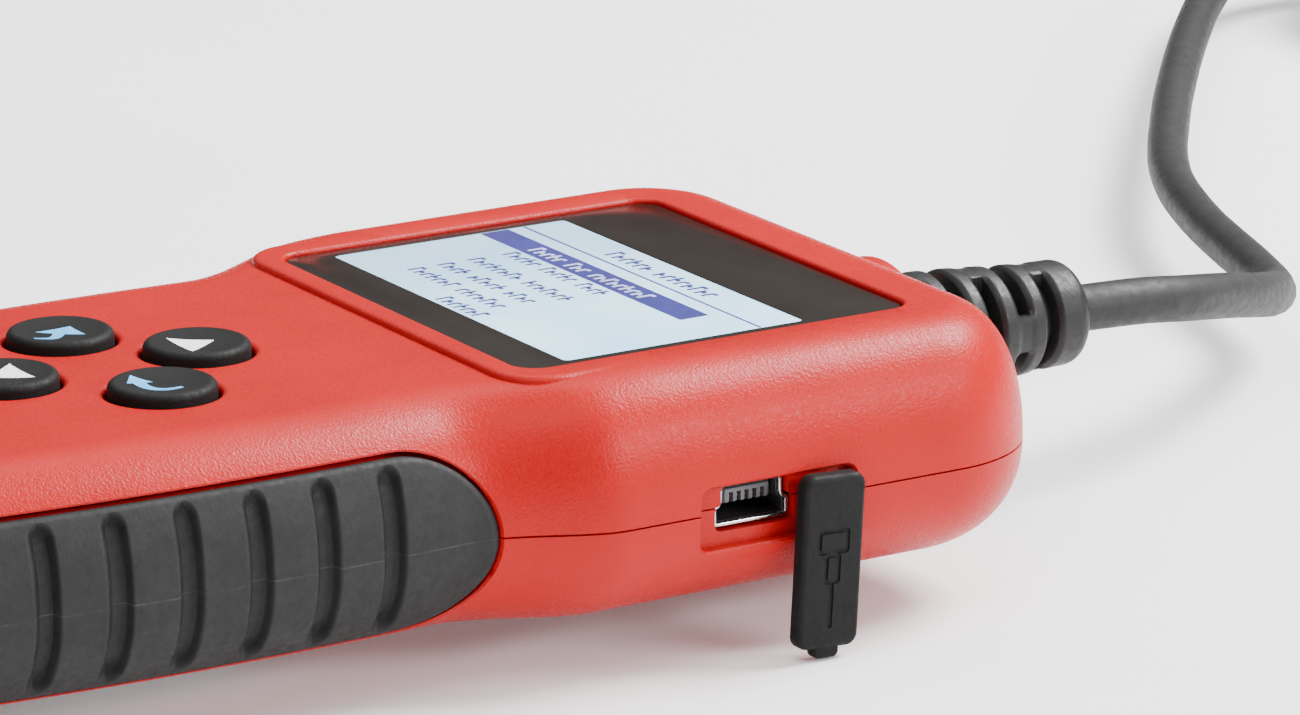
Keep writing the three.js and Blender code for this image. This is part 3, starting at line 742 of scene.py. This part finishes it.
def plug_cover():
    """The plug's moulded cover: a neck that swells to the full body, with finger ridges on its sides."""
    start, end = PLUG_COVER
    top = PLUG_AXIS + PLUG_FULL / 2
    rings = []
    for x in np.concatenate((np.linspace(0, 15, 34), np.linspace(15.3, 34.6, 110), np.linspace(35, 38, 12))):
        swell = float(smoothstep(x, -1, 13.5))
        rounding = 1.6 * (1 - math.sqrt(max(0, 1 - max(0, (x - 36.6) / 1.4) ** 2)))
        rounding += 1.4 * (1 - math.sqrt(max(0, 1 - max(0, (1.2 - x) / 1.2) ** 2)))
        ridge = 0.0
        if 17 < x < 33:
            ridge = 0.75 * (0.5 - 0.5 * math.cos((x - 17) / 16 * 2 * math.pi * 6)) ** 0.6
        wide = 17 + 29 * swell - 2 * rounding - 2 * ridge
        narrow = 15 + 25 * swell - 2 * rounding - 2 * ridge
        height = 14 + (PLUG_FULL - 14) * swell - 2 * rounding
        rings.append(plug_section(start + x, wide, narrow, height, 5.2 - 0.6 * min(1, rounding)))
    cover = lofted("plug_body", rings, PLUG_PLASTIC)
    seam = box(start - 1, end + 1, PLUG_Y - 30, PLUG_Y + 30, PLUG_AXIS - 0.12, PLUG_AXIS + 0.12)
    core = ((start - 2, 0.3), (start + 1, 0.32), (start + 13, 0.96), (end + 2, 0.97))
    combine(seam, [lofted("core", [plug_section(x, 42.6 * k, 38.6 * k, 20 * k, 4) for x, k in core])])
    panel = rectangle_rings(start + 16, end - 5, PLUG_Y - 13, PLUG_Y + 13, 2.5,
                            ((-0.3, top - 0.4), (0, top - 0.3), (0.4, PLUG_AXIS + 16)))
    combine(cover, [seam, lofted("panel", panel)])
    finish_shading(cover, 40)
    return cover


def plug_relief():
    """A ribbed taper where the cable enters the plug."""
    profile = [(2.5, 0), (3.1, 0.25), (3.4, 0.8)]
    rib = ((0, 0), (0.35, 0.35), (0.45, 1.1), (0.35, 1.85), (-0.1, 2.2), (-0.75, 2.3), (-0.75, 3.1))
    for i in range(5):
        profile += [(3.7 + i * 0.36 + out, 1.2 + i * 3.4 + along) for out, along in rib]
    profile += [(5.4, 18.3), (5.5, 18.6), (5.5, 19.9)]
    return spun(profile, "X", 64, (PLUG_X, PLUG_Y, PLUG_AXIS), "plug_boot", PLUG_PLASTIC)


def plug_shroud():
    start = PLUG_COVER[1] + 0.3
    wide, narrow, height, wall, deep = 39.5, 33.5, 18, 1.6, 16
    rings = []
    for x, inset in ((0, 0.3), (0.3, 0), (deep - 0.5, 0), (deep - 0.15, 0.15), (deep, 0.5),
                     (deep, wall - 0.5), (deep - 0.2, wall - 0.1), (deep - 0.6, wall), (2.4, wall)):
        rings.append(plug_section(start + x, wide - 2 * inset, narrow - 2 * inset, height - 2 * inset,
                                  2.4 - inset * 0.75))
    shroud = lofted("plug_mouth", rings, PLUG_PLASTIC)
    for side in (-1, 1):
        slot = box(start + 5, start + deep + 1, PLUG_Y - 1.4, PLUG_Y + 1.4,
                   PLUG_AXIS + side * (height / 2 - 0.5) - 0.25, PLUG_AXIS + side * (height / 2) + 0.25)
        combine(shroud, [slot])
    finish_shading(shroud, 35)
    return shroud


def plug_pins():
    """Sixteen flat blades in two rows, and the dark carrier that holds them."""
    start = PLUG_COVER[1] + 3
    carrier = side_rings(PLUG_Y - 14.6, PLUG_Y + 14.6, PLUG_AXIS - 6.2, PLUG_AXIS + 6.2, 1,
                         ((0, start), (0, start + 1.7), (-0.3, start + 2.0)))
    blades = []
    for row in (-4, 4):
        for i in range(8):
            y, z = PLUG_Y + (i - 3.5) * 4, PLUG_AXIS + row
            rings = []
            for x, w, t in ((0.3, 0.75, 0.35), (9.2, 0.75, 0.35), (10.4, 0.6, 0.26), (11.3, 0.4, 0.1)):
                half = [(w - 0.1, -t), (w, 0.08 - t), (w, t - 0.08), (w - 0.1, t)]
                section = half + [(-a, b) for a, b in reversed(half)]
                rings.append([(start + x, y + a, z + b) for a, b in section])
            blades.append(loft(rings))
    return lofted("plug_carrier", carrier, CHIP), joined("plug_blades", blades, GOLD)


plug_carrier, plug_blades = plug_pins()
plug_pieces = [
    place(plug_relief(), "plug_black", "plug_relief"),
    place(plug_cover(), "plug_black", "plug_cover"),
    place(plug_shroud(), "plug_black", "plug_shroud"),
    place(plug_carrier, "chip_black"),
    place(plug_blades, "contact_gold", "plug_pins"),
]


# ---------- housings ----------
def grip_outline(grow=0.0, steps=40):
    """The grip's outline in (y, z): straight edges and half-elliptic ends."""
    middle, half = sum(GRIP_Z) / 2, (GRIP_Z[1] - GRIP_Z[0]) / 2 + grow
    low, high = GRIP_Y[0] + GRIP_END, GRIP_Y[1] - GRIP_END
    points = []
    for start, cy, far, side in ((-90, high, low, 1), (90, low, high, -1)):
        for angle in np.radians(np.linspace(start, start + 180, steps + 1)):
            points.append((cy + (GRIP_END + grow) * math.cos(angle), middle + half * math.sin(angle)))
        points += [(y, middle + side * half) for y in np.linspace(cy, far, 50)[1:-1]]
    return np.array(points)


def grip_prism(grow):
    """A column through the right flank with the grip's outline, its ends read symmetrically."""
    middle = sum(GRIP_Z) / 2
    upper = grip_outline(grow)
    upper = upper[upper[:, 1] >= middle - 1e-9]
    upper = upper[np.argsort(-upper[:, 0], kind="stable")]
    ring = np.vstack((upper, upper[::-1] * (1, -1) + (0, 2 * middle)))
    return lofted("prism", [at_x(x, ring) for x in (20.2, OUTSIDE)])


def edge_band(outline, section):
    """A closed band that cuts a soft edge along an outline on the right flank."""
    return lofted("band", [flank(*outline(offset).T, depth) for offset, depth in section], loop=True)


def grip_pocket(mirror):
    skin = lofted("pocket", body_rings(2.5, 16, 1.6, 14))
    combine(skin, [lofted("core", body_rings(-GRIP_THICKNESS - 0.15, 16, 1.6, 14))])
    combine(skin, [grip_prism(0.16)], "INTERSECT")
    combine(skin, [edge_band(grip_outline, ((0.6, -0.35), (0.12, 0.28), (-0.2, -0.35)))], "UNION")
    return flipped(skin) if mirror else skin


def flipped(piece):
    """The mirror image in the middle plane."""
    piece.data.transform(Matrix.Scale(-1, 4, (1, 0, 0)))
    piece.data.flip_normals()
    return piece


def recess_outline(grow):
    return rounded_rectangle(*RECESS, 1.0, grow, 6)


def blank_housing():
    """Both housings as one hollow solid, with the collar, the grip pockets and the port's recess."""
    blank = lofted("blank", body_rings())
    plateau = rectangle_rings(*PLATEAU, PLATEAU_CORNER, ((0.3, 20), (0.24, 21.7), (0.16, 22.0), (0, 22.16),
                                                        (-0.2, 22.26), (-0.5, 22.3)))
    combine(blank, [lofted("plateau", plateau)], "UNION")
    combine(blank, [lofted("cavity", body_rings(-WALL, 8, 3, 8))])
    collar = [(8.2, 55.9), (8.2, COLLAR_END - 1.8)]
    collar += [(6.4 + 1.8 * math.cos(a), COLLAR_END - 1.8 + 1.8 * math.sin(a))
               for a in np.radians(np.linspace(10, 85, 8))]
    collar.append((AXIS_RADIUS, COLLAR_END))
    combine(blank, [spun(collar, "Y", 96, (0, 0, CABLE_Z))], "UNION")
    bore = [(6.35, 54), (6.35, COLLAR_END - 0.45), (6.5, COLLAR_END - 0.1), (6.9, COLLAR_END + 0.3)]
    return combine(blank, [
        spun(bore, "Y", 96, (0, 0, CABLE_Z)),
        grip_pocket(False),
        grip_pocket(True),
        lofted("recess", [at_x(x, recess_outline(0)) for x in (RECESS_FLOOR, OUTSIDE)]),
        edge_band(recess_outline, ((0.45, -0.3), (0.0, 0.3), (-0.3, -0.3))),
        lofted("port", [at_x(x, usb_section(0.22)) for x in (26, OUTSIDE)]),
        spun([(1.4, 26), (1.4, 31), (1.6, 31.2)], "X", 32, (0, *FLAP_PIVOT)),
    ])


def usb_section(grow):
    """The port's outline in (y, z): a wide lower half that steps in to a narrower upper one."""
    low, high = USB_Z
    half = [(3.45, low), (3.73, low + 0.12), (3.85, low + 0.4), (3.85, low + 1.6), (3.74, low + 1.82),
            (3.44, low + 2.02), (3.3, low + 2.2), (3.25, low + 2.4), (3.25, high - 0.5), (3.1, high - 0.14),
            (2.75, high)]
    ring = np.array(half + [(-y, z) for y, z in reversed(half)])
    along = np.roll(ring, -1, axis=0) - np.roll(ring, 1, axis=0)
    out = np.column_stack((along[:, 1], -along[:, 0]))
    out /= np.linalg.norm(out, axis=1, keepdims=True)
    return ring + grow * out + (USB_Y, 0)


def parting_groove():
    points, out = plan_outline()
    section = ((0.25, -0.32), (0.25, 0.32), (-0.12, 0.02))
    return lofted("groove", [at_z(PARTING + z, points + grow * out) for grow, z in section], loop=True)


def copy_of(piece):
    return add_object(piece.name, piece.data.copy())


def front_housing(blank):
    shell = combine(copy_of(blank), [box(*AROUND, PARTING + PARTING_GAP / 2, 40)], "INTERSECT")
    combine(shell, [post(x, y, 3.2, PARTING + 0.5, 20.2, 32) for x, y in SCREWS], "UNION")
    lens = rectangle_rings(*LENS, LENS_CORNER, ((0.16, 20.6), (0.16, 21.9), (0.22, 22.08), (0.36, 22.22),
                                                (0.6, 22.32), (1.2, 22.5)))
    window = rectangle_rings(-21.3, 21.3, 16, 43, 1.5, ((0, 15), (0, 21)))
    well = [(5.02, 14), (5.02, 21.05), (5.07, 21.25), (5.2, 21.44), (5.42, 21.56), (5.75, 21.62), (6.4, 21.7)]
    tools = [post(x, y, 1.65, 9, 16, 24) for x, y in SCREWS]
    tools += [lofted("lens_recess", lens), lofted("window", window)]
    tools += [spun(well, "Z", 96, (x, y, 0)) for x, y in BUTTONS.values()]
    return combine(shell, tools)


def rear_housing(blank):
    shell = combine(copy_of(blank), [box(*AROUND, -5, PARTING - PARTING_GAP / 2)], "INTERSECT")
    well = [(3.6, -1), (3.3, -0.2), (3.05, 0.2), (2.95, 0.6), (2.95, 3)]
    for x, y in SCREWS:
        combine(shell, [post(x, y, 4.2, 1, PARTING - 0.4, 32)], "UNION")
        combine(shell, [spun(well, "Z", 64, (x, y, 0)), post(x, y, 1.6, 0, 12, 24)])
    pocket = rectangle_rings(*LABEL_PLATE, 2, ((0.8, -0.3), (0.4, 0.05), (0.3, 0.2), (0.3, 0.45)))
    return combine(shell, [lofted("label_pocket", pocket)])


blank = combine(blank_housing(), [parting_groove()])
for name, made in (("front_housing", front_housing(blank)), ("rear_housing", rear_housing(blank))):
    made.name = name + "_shell"
    coat(made, RED, 32)
    even_shading(made)
    place(made, "red_plastic", name)
bpy.data.objects.remove(blank)


# ---------- grips ----------
def grip_patch():
    """One grip: a dense patch over the right flank with a rolled edge and seven finger grooves."""
    middle, half = sum(GRIP_Z) / 2, (GRIP_Z[1] - GRIP_Z[0]) / 2
    grooves = [GROOVE_FIRST - i * GROOVE_PITCH for i in range(GROOVE_COUNT)]
    swing = np.radians(np.linspace(1.5, 90, 34))
    ends = GRIP_END * (1 - np.sin(swing))
    stations = set(np.round(np.concatenate((GRIP_Y[0] + ends, GRIP_Y[1] - ends)), 3))
    stations |= set(np.round(np.arange(GRIP_Y[0] + GRIP_END, GRIP_Y[1] - GRIP_END, 0.45), 3))
    for y in grooves:
        stations |= set(np.round(y + np.linspace(-1.5, 1.5, 31), 3))
    kept = [GRIP_Y[0] + 0.003]
    for y in sorted(stations):
        if kept[-1] + 0.045 < y < GRIP_Y[1] - 0.04:
            kept.append(y)
    kept.append(GRIP_Y[1] - 0.003)
    ys = np.array(kept)
    v = np.sin(np.radians(np.linspace(-90, 90, 97)))
    past = np.maximum(np.maximum(GRIP_Y[0] + GRIP_END - ys, ys - (GRIP_Y[1] - GRIP_END)), 0)
    height = half * np.sqrt(np.maximum(1 - (past / GRIP_END) ** 2, 1e-6))
    y, across = np.meshgrid(ys, v, indexing="ij")
    z = middle + across * height[:, None]
    over = np.broadcast_to(past[:, None], y.shape)
    reach = np.sqrt((over / GRIP_END) ** 2 + ((z - middle) / half) ** 2)
    slope = np.sqrt((over / GRIP_END ** 2) ** 2 + ((z - middle) / half ** 2) ** 2) / np.maximum(reach, 1e-6)
    edge = np.maximum(np.where(over > 0, (1 - reach) / np.maximum(slope, 1e-6), half - abs(z - middle)), 0)
    roll = 0.75
    depth = -GRIP_PROUD + roll - np.sqrt(roll ** 2 - (roll - np.minimum(edge, roll)) ** 2)
    for centre in grooves:
        past_end = np.maximum(abs(z - MIDDLE) - GROOVE_HALF_LENGTH, 0)
        away = np.hypot(y - centre, past_end)
        wall = np.where(y > centre, 0.4, 1.0)
        depth = depth + GROOVE_DEPTH * smoothstep(GROOVE_HALF_WIDTH - away, 0, wall)
    pad = sheet(flank(y, z, depth), flank(y, z, GRIP_THICKNESS))
    return joined("grip_right_pad", [pad], GRIP_RUBBER, 60)


grip_right = grip_patch()
grip_left = flipped(copy_of(grip_right))
grip_left.name = "grip_left_pad"
place(grip_right, "black_rubber", "grip_right")
place(grip_left, "black_rubber", "grip_left")


# ---------- screen ----------
def frame_plate():
    """The black surround of the lens, with the window left open."""
    outer = rectangle_rings(*LENS, LENS_CORNER, ((0, 20.9), (0, 21.8), (-0.06, 21.87), (-0.2, 21.9)))
    plate = lofted("screen_lens_print", outer, LENS_PRINT)
    opening = rectangle_rings(*LCD, 0.6, ((0, 20), (0, 21.84), (0.05, 21.95)), 4)
    combine(plate, [lofted("opening", opening)])
    finish_shading(plate, 30)
    return plate


def bars(name, rectangles, bottom, top, material, radius=0.12):
    """Thin printed bars, (x0, x1, y0, y1) each."""
    skins = []
    for x0, x1, y0, y1 in rectangles:
        corner = min(radius, (x1 - x0) * 0.4, (y1 - y0) * 0.4)
        skins.append(loft(rectangle_rings(x0, x1, y0, y1, corner, ((0, bottom), (0, top)), 2)))
    return joined(name, skins, material)


def greeked(x0, x1, y, size, gaps):
    """Blocks in place of a line of text: short upright and level strokes, with gaps between words."""
    blocks = []
    step, foot = size * 0.62, y - size / 2
    for count in range(math.ceil((x1 - x0) / step)):
        if count in gaps:
            continue
        x = x0 + count * step
        high = size * (0.72 if count % 3 else 1.0)
        bar = foot + high * (0.4 if count % 2 else 0.78)
        blocks.append((x, x + step * 0.34, foot, foot + high))
        blocks.append((x + step * 0.3, x + step * 0.78, bar, bar + size * 0.24))
    return blocks


place(frame_plate(), "lens_black", "screen_lens")
panel_rings = rectangle_rings(*LCD, 0.55, ((-0.02, 20.95), (-0.02, 21.82), (-0.07, 21.85)), 4)
place(lofted("display_panel", panel_rings, DISPLAY), "display", "display_glass")
MENU = ((31.2, -13, 3.2, (5, 11)), (27.5, -13, 3.0, (8,)), (24.3, -13, 2.2, (4, 10)), (21.2, -13, 2.6, (7,)),
        (18.3, -3, 4, ()))
marks = [(-20.3, 20.3, 37.0, 37.25), *greeked(-8, 9, 39.2, 1.9, (6,))]
for y, x0, x1, gaps in MENU:
    marks += greeked(x0, x1, y, 1.7, gaps)
place(bars("display_marks", marks, 21.83, 21.862, NAVY_INK, 0.08), "display")
highlight = [(-20.3, 14.5, 32.4, 35.4)]
place(bars("display_highlight", highlight, 21.83, 21.858, NAVY_INK, 0.1), "display")
place(bars("display_highlight_marks", greeked(-13, 6, 33.9, 1.7, (5, 9)), 21.85, 21.868, PALE_INK, 0.08),
      "display")


# ---------- buttons ----------
def dish(radius):
    return BUTTON_TOP - BUTTON_DISH * (1 - np.minimum(np.asarray(radius, float) / 4.1, 1) ** 2.6)


def button(name, x, y):
    profile = [(0.02, 15.75), (2.0, 15.75), (2.4, 17.7), (5.3, 17.7), (5.3, 18.7), (4.75, 18.7), (4.75, 21.9)]
    profile += [(4.1 + 0.65 * math.cos(a), BUTTON_TOP - 0.65 + 0.65 * math.sin(a))
                for a in np.radians(np.linspace(10, 85, 8))]
    profile += [(r, float(dish(r))) for r in (4.1, 3.9, 3.65, 3.35, 3.0, 2.5, 2.0, 1.4, 0.8, 0.02)]
    key = spun(profile, "Z", 96, (x, y, 0), f"{name}_key", KEY_RUBBER, 40)
    place(key, "black_rubber", name, body=name)


def ribbon(left, right, columns=8, rows=14):
    """A printed mark between two edges, following the key's dish."""
    def spread(line):
        line = np.array(line, float)
        run = np.concatenate(([0], np.cumsum(np.linalg.norm(np.diff(line, axis=0), axis=1))))
        steps = np.linspace(0, 1, rows)
        return np.column_stack([np.interp(steps, run / run[-1], line[:, k]) for k in (0, 1)])

    a, b = spread(left), spread(right)
    grid = np.stack([a + (b - a) * t for t in np.linspace(0, 1, columns)], axis=1)
    z = dish(np.hypot(grid[..., 0], grid[..., 1]))
    return sheet(np.dstack((grid, z + 0.02)), np.dstack((grid, z - 0.08)))


def curved_band(centre, widths):
    """Edges of a band round a centreline of a few points."""
    line = np.array([tuple(p) for p in through([(*p, 0) for p in centre], 0.25)])[:, :2]
    along = np.gradient(line, axis=0)
    along /= np.linalg.norm(along, axis=1, keepdims=True)
    out = np.column_stack((-along[:, 1], along[:, 0]))
    half = np.interp(np.linspace(0, 1, len(line)), np.linspace(0, 1, len(widths)), widths)[:, None] / 2
    return line + half * out, line - half * out


ENTER_TAIL = [(-1.05, -1.7), (0.2, -1.75), (1.3, -1.4), (1.95, -0.5), (1.95, 0.9)]
BACK_TAIL = [(0.35, -0.3), (1.2, -0.9), (1.75, -1.7), (1.3, -3.2)]
ICONS = {
    "up": (WHITE_INK, [([(-2.45, -1.75), (-0.06, 1.65)], [(2.45, -1.75), (0.06, 1.65)])]),
    "down": (WHITE_INK, [([(-2.45, 1.75), (-0.06, -1.65)], [(2.45, 1.75), (0.06, -1.65)])]),
    "enter": (BLUE_INK, [([(-3.1, -1.5), (-1.2, -2.8)], [(-3.1, -1.45), (-0.8, -0.5)]),
                         curved_band(ENTER_TAIL, (1.15, 0.9, 0.5))]),
    "back": (BLUE_INK, [([(-1.05, 1.5), (-0.85, -2.0)], [(-1.0, 1.5), (2.15, 1.4)]),
                        curved_band(BACK_TAIL, (1.1, 0.9, 0.4))]),
}
for key, (x, y) in BUTTONS.items():
    name = f"button_{key}"
    button(name, x, y)
    ink, shapes = ICONS[key]
    ribbons = [ribbon(left, right) for left, right in shapes]
    icon = joined(f"{name}_icon", [(points + (x, y, 0), faces) for points, faces in ribbons], ink, 50)
    place(icon, "white_plastic", body=name)


# ---------- USB port and its flap ----------
def usb_shell():
    section = ((21.5, 0), (USB_MOUTH - 0.12, 0), (USB_MOUTH - 0.03, -0.03), (USB_MOUTH, -0.12),
               (USB_MOUTH, -0.22), (USB_MOUTH - 0.05, -0.32), (USB_MOUTH - 0.15, -0.35), (22, -0.35))
    return lofted("usb_port_shell", [at_x(x, usb_section(grow)) for x, grow in section], STEEL)


def usb_tongue():
    """The tongue, with five slots for its contacts."""
    low, high = USB_Z
    tongue = side_rings(USB_Y - 2.4, USB_Y + 2.4, low + 1.75, high - 0.62, 0.25,
                        ((0, 22.3), (0, 29.5), (-0.08, 29.7), (-0.2, 29.8)), 4)
    base = side_rings(USB_Y - 2.6, USB_Y + 2.6, low + 0.5, high - 0.5, 0.2, ((0, 21.9), (0, 24.5)), 3)
    block = combine(lofted("usb_port_tongue", tongue), [lofted("base", base)], "UNION")
    combine(block, [box(24.6, 30, y - 0.22, y + 0.22, low + 1.6, low + 2.75) for y in CONTACTS_Y])
    coat(block, TONGUE, 30)
    return block


def usb_shade_liner():
    """Painted shade: a black sheet lining the inside of the steel shell, all round the tongue, darkens the
    port's depths.
    """
    section = ((22.05, -0.37), (30.1, -0.37), (30.15, -0.42), (30.1, -0.46), (22.4, -0.46))
    return lofted("usb_port_shade_liner", [at_x(x, usb_section(grow)) for x, grow in section], CHIP)


def usb_contacts():
    low = USB_Z[0]
    reach = ((0, 24.4), (0, 29.2), (-0.03, 29.4))
    strips = [loft(side_rings(y - 0.17, y + 0.17, low + 2.2, low + 2.33, 0.04, reach, 2)) for y in CONTACTS_Y]
    return joined("usb_port_contacts", strips, GOLD)


def leaned(piece):
    """Turns a piece drawn round the flap's pivot to the lean it hangs at."""
    pivot = Vector((0, *FLAP_PIVOT)) * MM
    turn = Matrix.Rotation(math.radians(FLAP_LEAN), 4, "X")
    piece.data.transform(Matrix.Translation(pivot) @ turn)
    return piece


def usb_flap():
    """The cover, drawn upright round its pivot: blade, pull tab, swivel stem and an engraved plug."""
    rolled = ((-0.5, 33.0), (-0.2, 33.06), (0, 33.3), (0, 34.2), (-0.08, 34.45), (-0.25, 34.62),
              (-0.5, FLAP_FACE))
    flap = lofted("usb_flap_blade", side_rings(-3.15, 3.15, -13.1, 2.6, 1.15, rolled, 10), FLAP_RUBBER)
    tab = side_rings(-1.3, 1.3, -14, -11, 0.55, ((-0.2, 33.2), (0, 33.35), (0, 34.3), (-0.2, 34.5)), 8)
    stem = [(1.3, 28), (1.85, 28.6), (1.85, 29), (1.1, 29.1), (1.1, 33.3)]
    combine(flap, [lofted("tab", tab), spun(stem, "X", 48)], "UNION")
    line = 0.36
    marks = []
    for y0, y1, z0, z1 in ((-1.6, 1.6, -4.5, -2.3), (-0.8, 0.8, -7.2, -4.5)):
        outer = side_rings(y0, y1, z0, z1, 0.35, ((0, FLAP_FACE - 0.16), (0.1, FLAP_FACE + 0.2)), 4)
        inner = side_rings(y0 + line, y1 - line, z0 + line, z1 - line, 0.12,
                           ((0.05, FLAP_FACE - 0.3), (-0.05, FLAP_FACE + 0.4)), 4)
        marks.append(combine(lofted("mark", outer), [lofted("mark", inner)]))
    cable = side_rings(-0.2, 0.2, -11.2, -7.2, 0.18, ((0, FLAP_FACE - 0.16), (0.08, FLAP_FACE + 0.2)), 4)
    combine(flap, [*marks, lofted("mark", cable)])
    coat(flap, FLAP_RUBBER, 38)
    even_shading(flap)
    return leaned(flap)


place(usb_shell(), "bright_steel", "usb_shell")
place(usb_tongue(), "chip_black", "usb_tongue")
# painted shade: a dark sheet lining the port's shell stands in for the shade deep inside it
place(usb_shade_liner(), "chip_black")
place(usb_contacts(), "contact_gold")
place(usb_flap(), "black_rubber", "usb_flap", body="usb_flap")


# ---------- strain relief ----------
def strain_relief():
    """A tapering boot whose ribs are parted by slots that leave a web now above and now beside."""
    pitch, first, slot, web, core, sides = 3.4, 4.6, 0.6, 1.9, 3.5, 144
    middles = [RELIEF_END - first - i * pitch for i in range(5)]
    start, collar = 54.0, COLLAR_END + 0.3
    stations = list(np.linspace(collar + 0.01, RELIEF_END - 1.6, 30))
    for middle in middles:
        stations += list(middle + np.linspace(-1.7, 1.7, 52))
    stations = sorted(y for y in set(np.round(stations, 3)) if collar < y < RELIEF_END - 1.5)
    angles = np.linspace(0, 2 * math.pi, sides, endpoint=False) + math.pi / sides
    rings = []

    def ring(radii, y):
        across, up = radii * np.sin(angles), radii * np.cos(angles)
        rings.append(np.column_stack((across, np.full(sides, y), CABLE_Z + up)))

    for radius, y in ((AXIS_RADIUS, start), (6.9, start), (6.9, 55.5), (6.1, 55.55),
                      (6.0, collar - 0.25), (6.1, collar)):
        ring(radius, y)
    for y in stations:
        taper = 6.1 - 1.05 * smoothstep(y, collar + 1, RELIEF_END - 1)
        nearest = min(range(5), key=lambda i: abs(y - middles[i]))
        away = abs(y - middles[nearest])
        bulge = 0.5 * (1 - smoothstep(away - slot, -0.1, 0.75)) ** 1.6
        across = np.cos(angles) if nearest % 2 else np.sin(angles)
        is_open = smoothstep(abs(across) * taper, web - 0.1, web + 0.35)
        cut = (1 - smoothstep(away, slot - 0.06, slot + 0.05)) * is_open
        ring(taper - bulge * (0.25 + 0.75 * is_open) - (taper - bulge - core) * cut, y)
    for angle in np.radians(np.linspace(5, 80, 9)):
        ring(3.55 + 1.5 * math.cos(angle), RELIEF_END - 1.5 + 1.5 * math.sin(angle))
    ring(2.6, RELIEF_END)
    ring(2.4, RELIEF_END - 0.3)
    ring(AXIS_RADIUS, RELIEF_END - 0.3)
    return lofted("strain_relief_boot", rings, RELIEF_RUBBER, 50)


place(strain_relief(), "black_rubber", "strain_relief")


# ---------- back ----------
def housing_screw(name, x, y):
    """A low-headed screw with a cross recess, its head down and its thread above."""
    profile = [(AXIS_RADIUS, 1.3), (1.2, 1.05), (2.1, 1.1), (2.5, 1.35), (2.6, 1.7), (2.6, 2.9), (1.3, 2.9)]
    for z in 3.3 + 1.2 * np.arange(9):
        profile += [(1.3, z), (1.0, z + 0.4), (1.3, z + 0.8)]
    profile += [(0.6, 14.6), (AXIS_RADIUS, 15)]
    screw = spun(profile, "Z", 48, (x, y, 0), f"{name}_head", STEEL)
    spot = Matrix.Translation(Vector((x, y, 0)) * MM)
    for turn in (25, 115):
        arm = box(-1.45, 1.45, -0.24, 0.24, 0.6, 2.2)
        arm.data.transform(spot @ Matrix.Rotation(math.radians(turn), 4, "Z"))
        combine(screw, [arm])
    finish_shading(screw)
    return screw


for i, (x, y) in enumerate(SCREWS, 1):
    place(housing_screw(f"housing_screw_{i}", x, y), "bright_steel", f"housing_screw_{i}")
sticker = rectangle_rings(*LABEL_PLATE, 2, ((-0.06, 0.09), (0, 0.13), (0, 0.35)))
place(lofted("rear_sticker", sticker, LABEL), "label_grey", "rear_label")
rim = [(-12.2, 12.2, -35.2, -35.0), (-12.2, 12.2, -9.0, -8.8), (-12.2, -12.0, -35.2, -8.8),
       (12.0, 12.2, -35.2, -8.8)]
place(bars("rear_sticker_rim", rim, 0.075, 0.12, CHIP, 0.05), "label_grey")

# ---------- inside pieces carried over from the frame ----------
INSIDE = {
    "display_frame": WHITE, "main_board": BOARD, "keypad_web": KEY_RUBBER, "controller_chip": CHIP,
    "memory_chip": CHIP, "crystal_can": STEEL, "buzzer": CHIP, "cable_socket": WHITE,
    "board_screw_right": STEEL, "board_screw_left": STEEL,
}
INSIDE.update({f"dome_switch_{key}": STEEL for key in BUTTONS})
for name, material in INSIDE.items():
    for material_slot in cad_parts[name].material_slots:
        material_slot.material = material

# ---------- stage ----------
floor_paint = Paint("floor", (0.9, 0.9, 0.9), 0.9, specular=0.1)
floor_paint.tint(60, 2, (0.89, 0.89, 0.89), (0.92, 0.92, 0.92))
floor_paint.put("Emission Color", (1, 1, 1, 1))
floor_paint.put("Emission Strength", 0.15)
FLOOR = CAD_BOX[0].z / MM - 0.2
REACH = 4000
corners = [(x * REACH, y * REACH, FLOOR) for x, y in ((-1, -1), (1, -1), (1, 1), (-1, 1))]
floor = make_mesh("floor", corners, [(0, 1, 2, 3)], floor_paint.material)


def soft_light(name, azimuth, elevation, distance, width, height, power):
    """An area light in the camera's terms (0 is front, 90 right of it), aimed at the reader."""
    lamp = bpy.data.lights.new(name, "AREA")
    lamp.shape = "RECTANGLE"
    lamp.size, lamp.size_y, lamp.energy = width, height, power
    back = direction_to(AZIMUTH + math.radians(azimuth), math.radians(elevation))
    aim(add_object(name, lamp), back, distance)


soft_light("key", 118, 48, 0.9, 0.5, 0.35, 22)
soft_light("side", 62, 22, 0.9, 0.5, 0.12, 6)
soft_light("front", -25, 60, 0.9, 0.6, 0.4, 3.5)
soft_light("rim", 175, 55, 1.0, 0.9, 0.3, 3)
world = bpy.data.worlds.new("studio")
world.use_nodes = True
sky = world.node_tree
direction = sky.nodes.new("ShaderNodeSeparateXYZ")
sky.links.new(sky.nodes.new("ShaderNodeTexCoord").outputs["Generated"], direction.inputs["Vector"])
glow = sky.nodes.new("ShaderNodeMapRange")
glow.interpolation_type = "SMOOTHSTEP"
for socket, value in (("From Min", 0.1), ("From Max", 0.9), ("To Min", 0.12), ("To Max", 1.0)):
    glow.inputs[socket].default_value = value
sky.links.new(direction.outputs["Z"], glow.inputs["Value"])
sky.links.new(glow.outputs["Result"], sky.nodes["Background"].inputs["Strength"])
sky.nodes["Background"].inputs["Color"].default_value = (1, 1, 1, 1)
bpy.context.scene.world = world
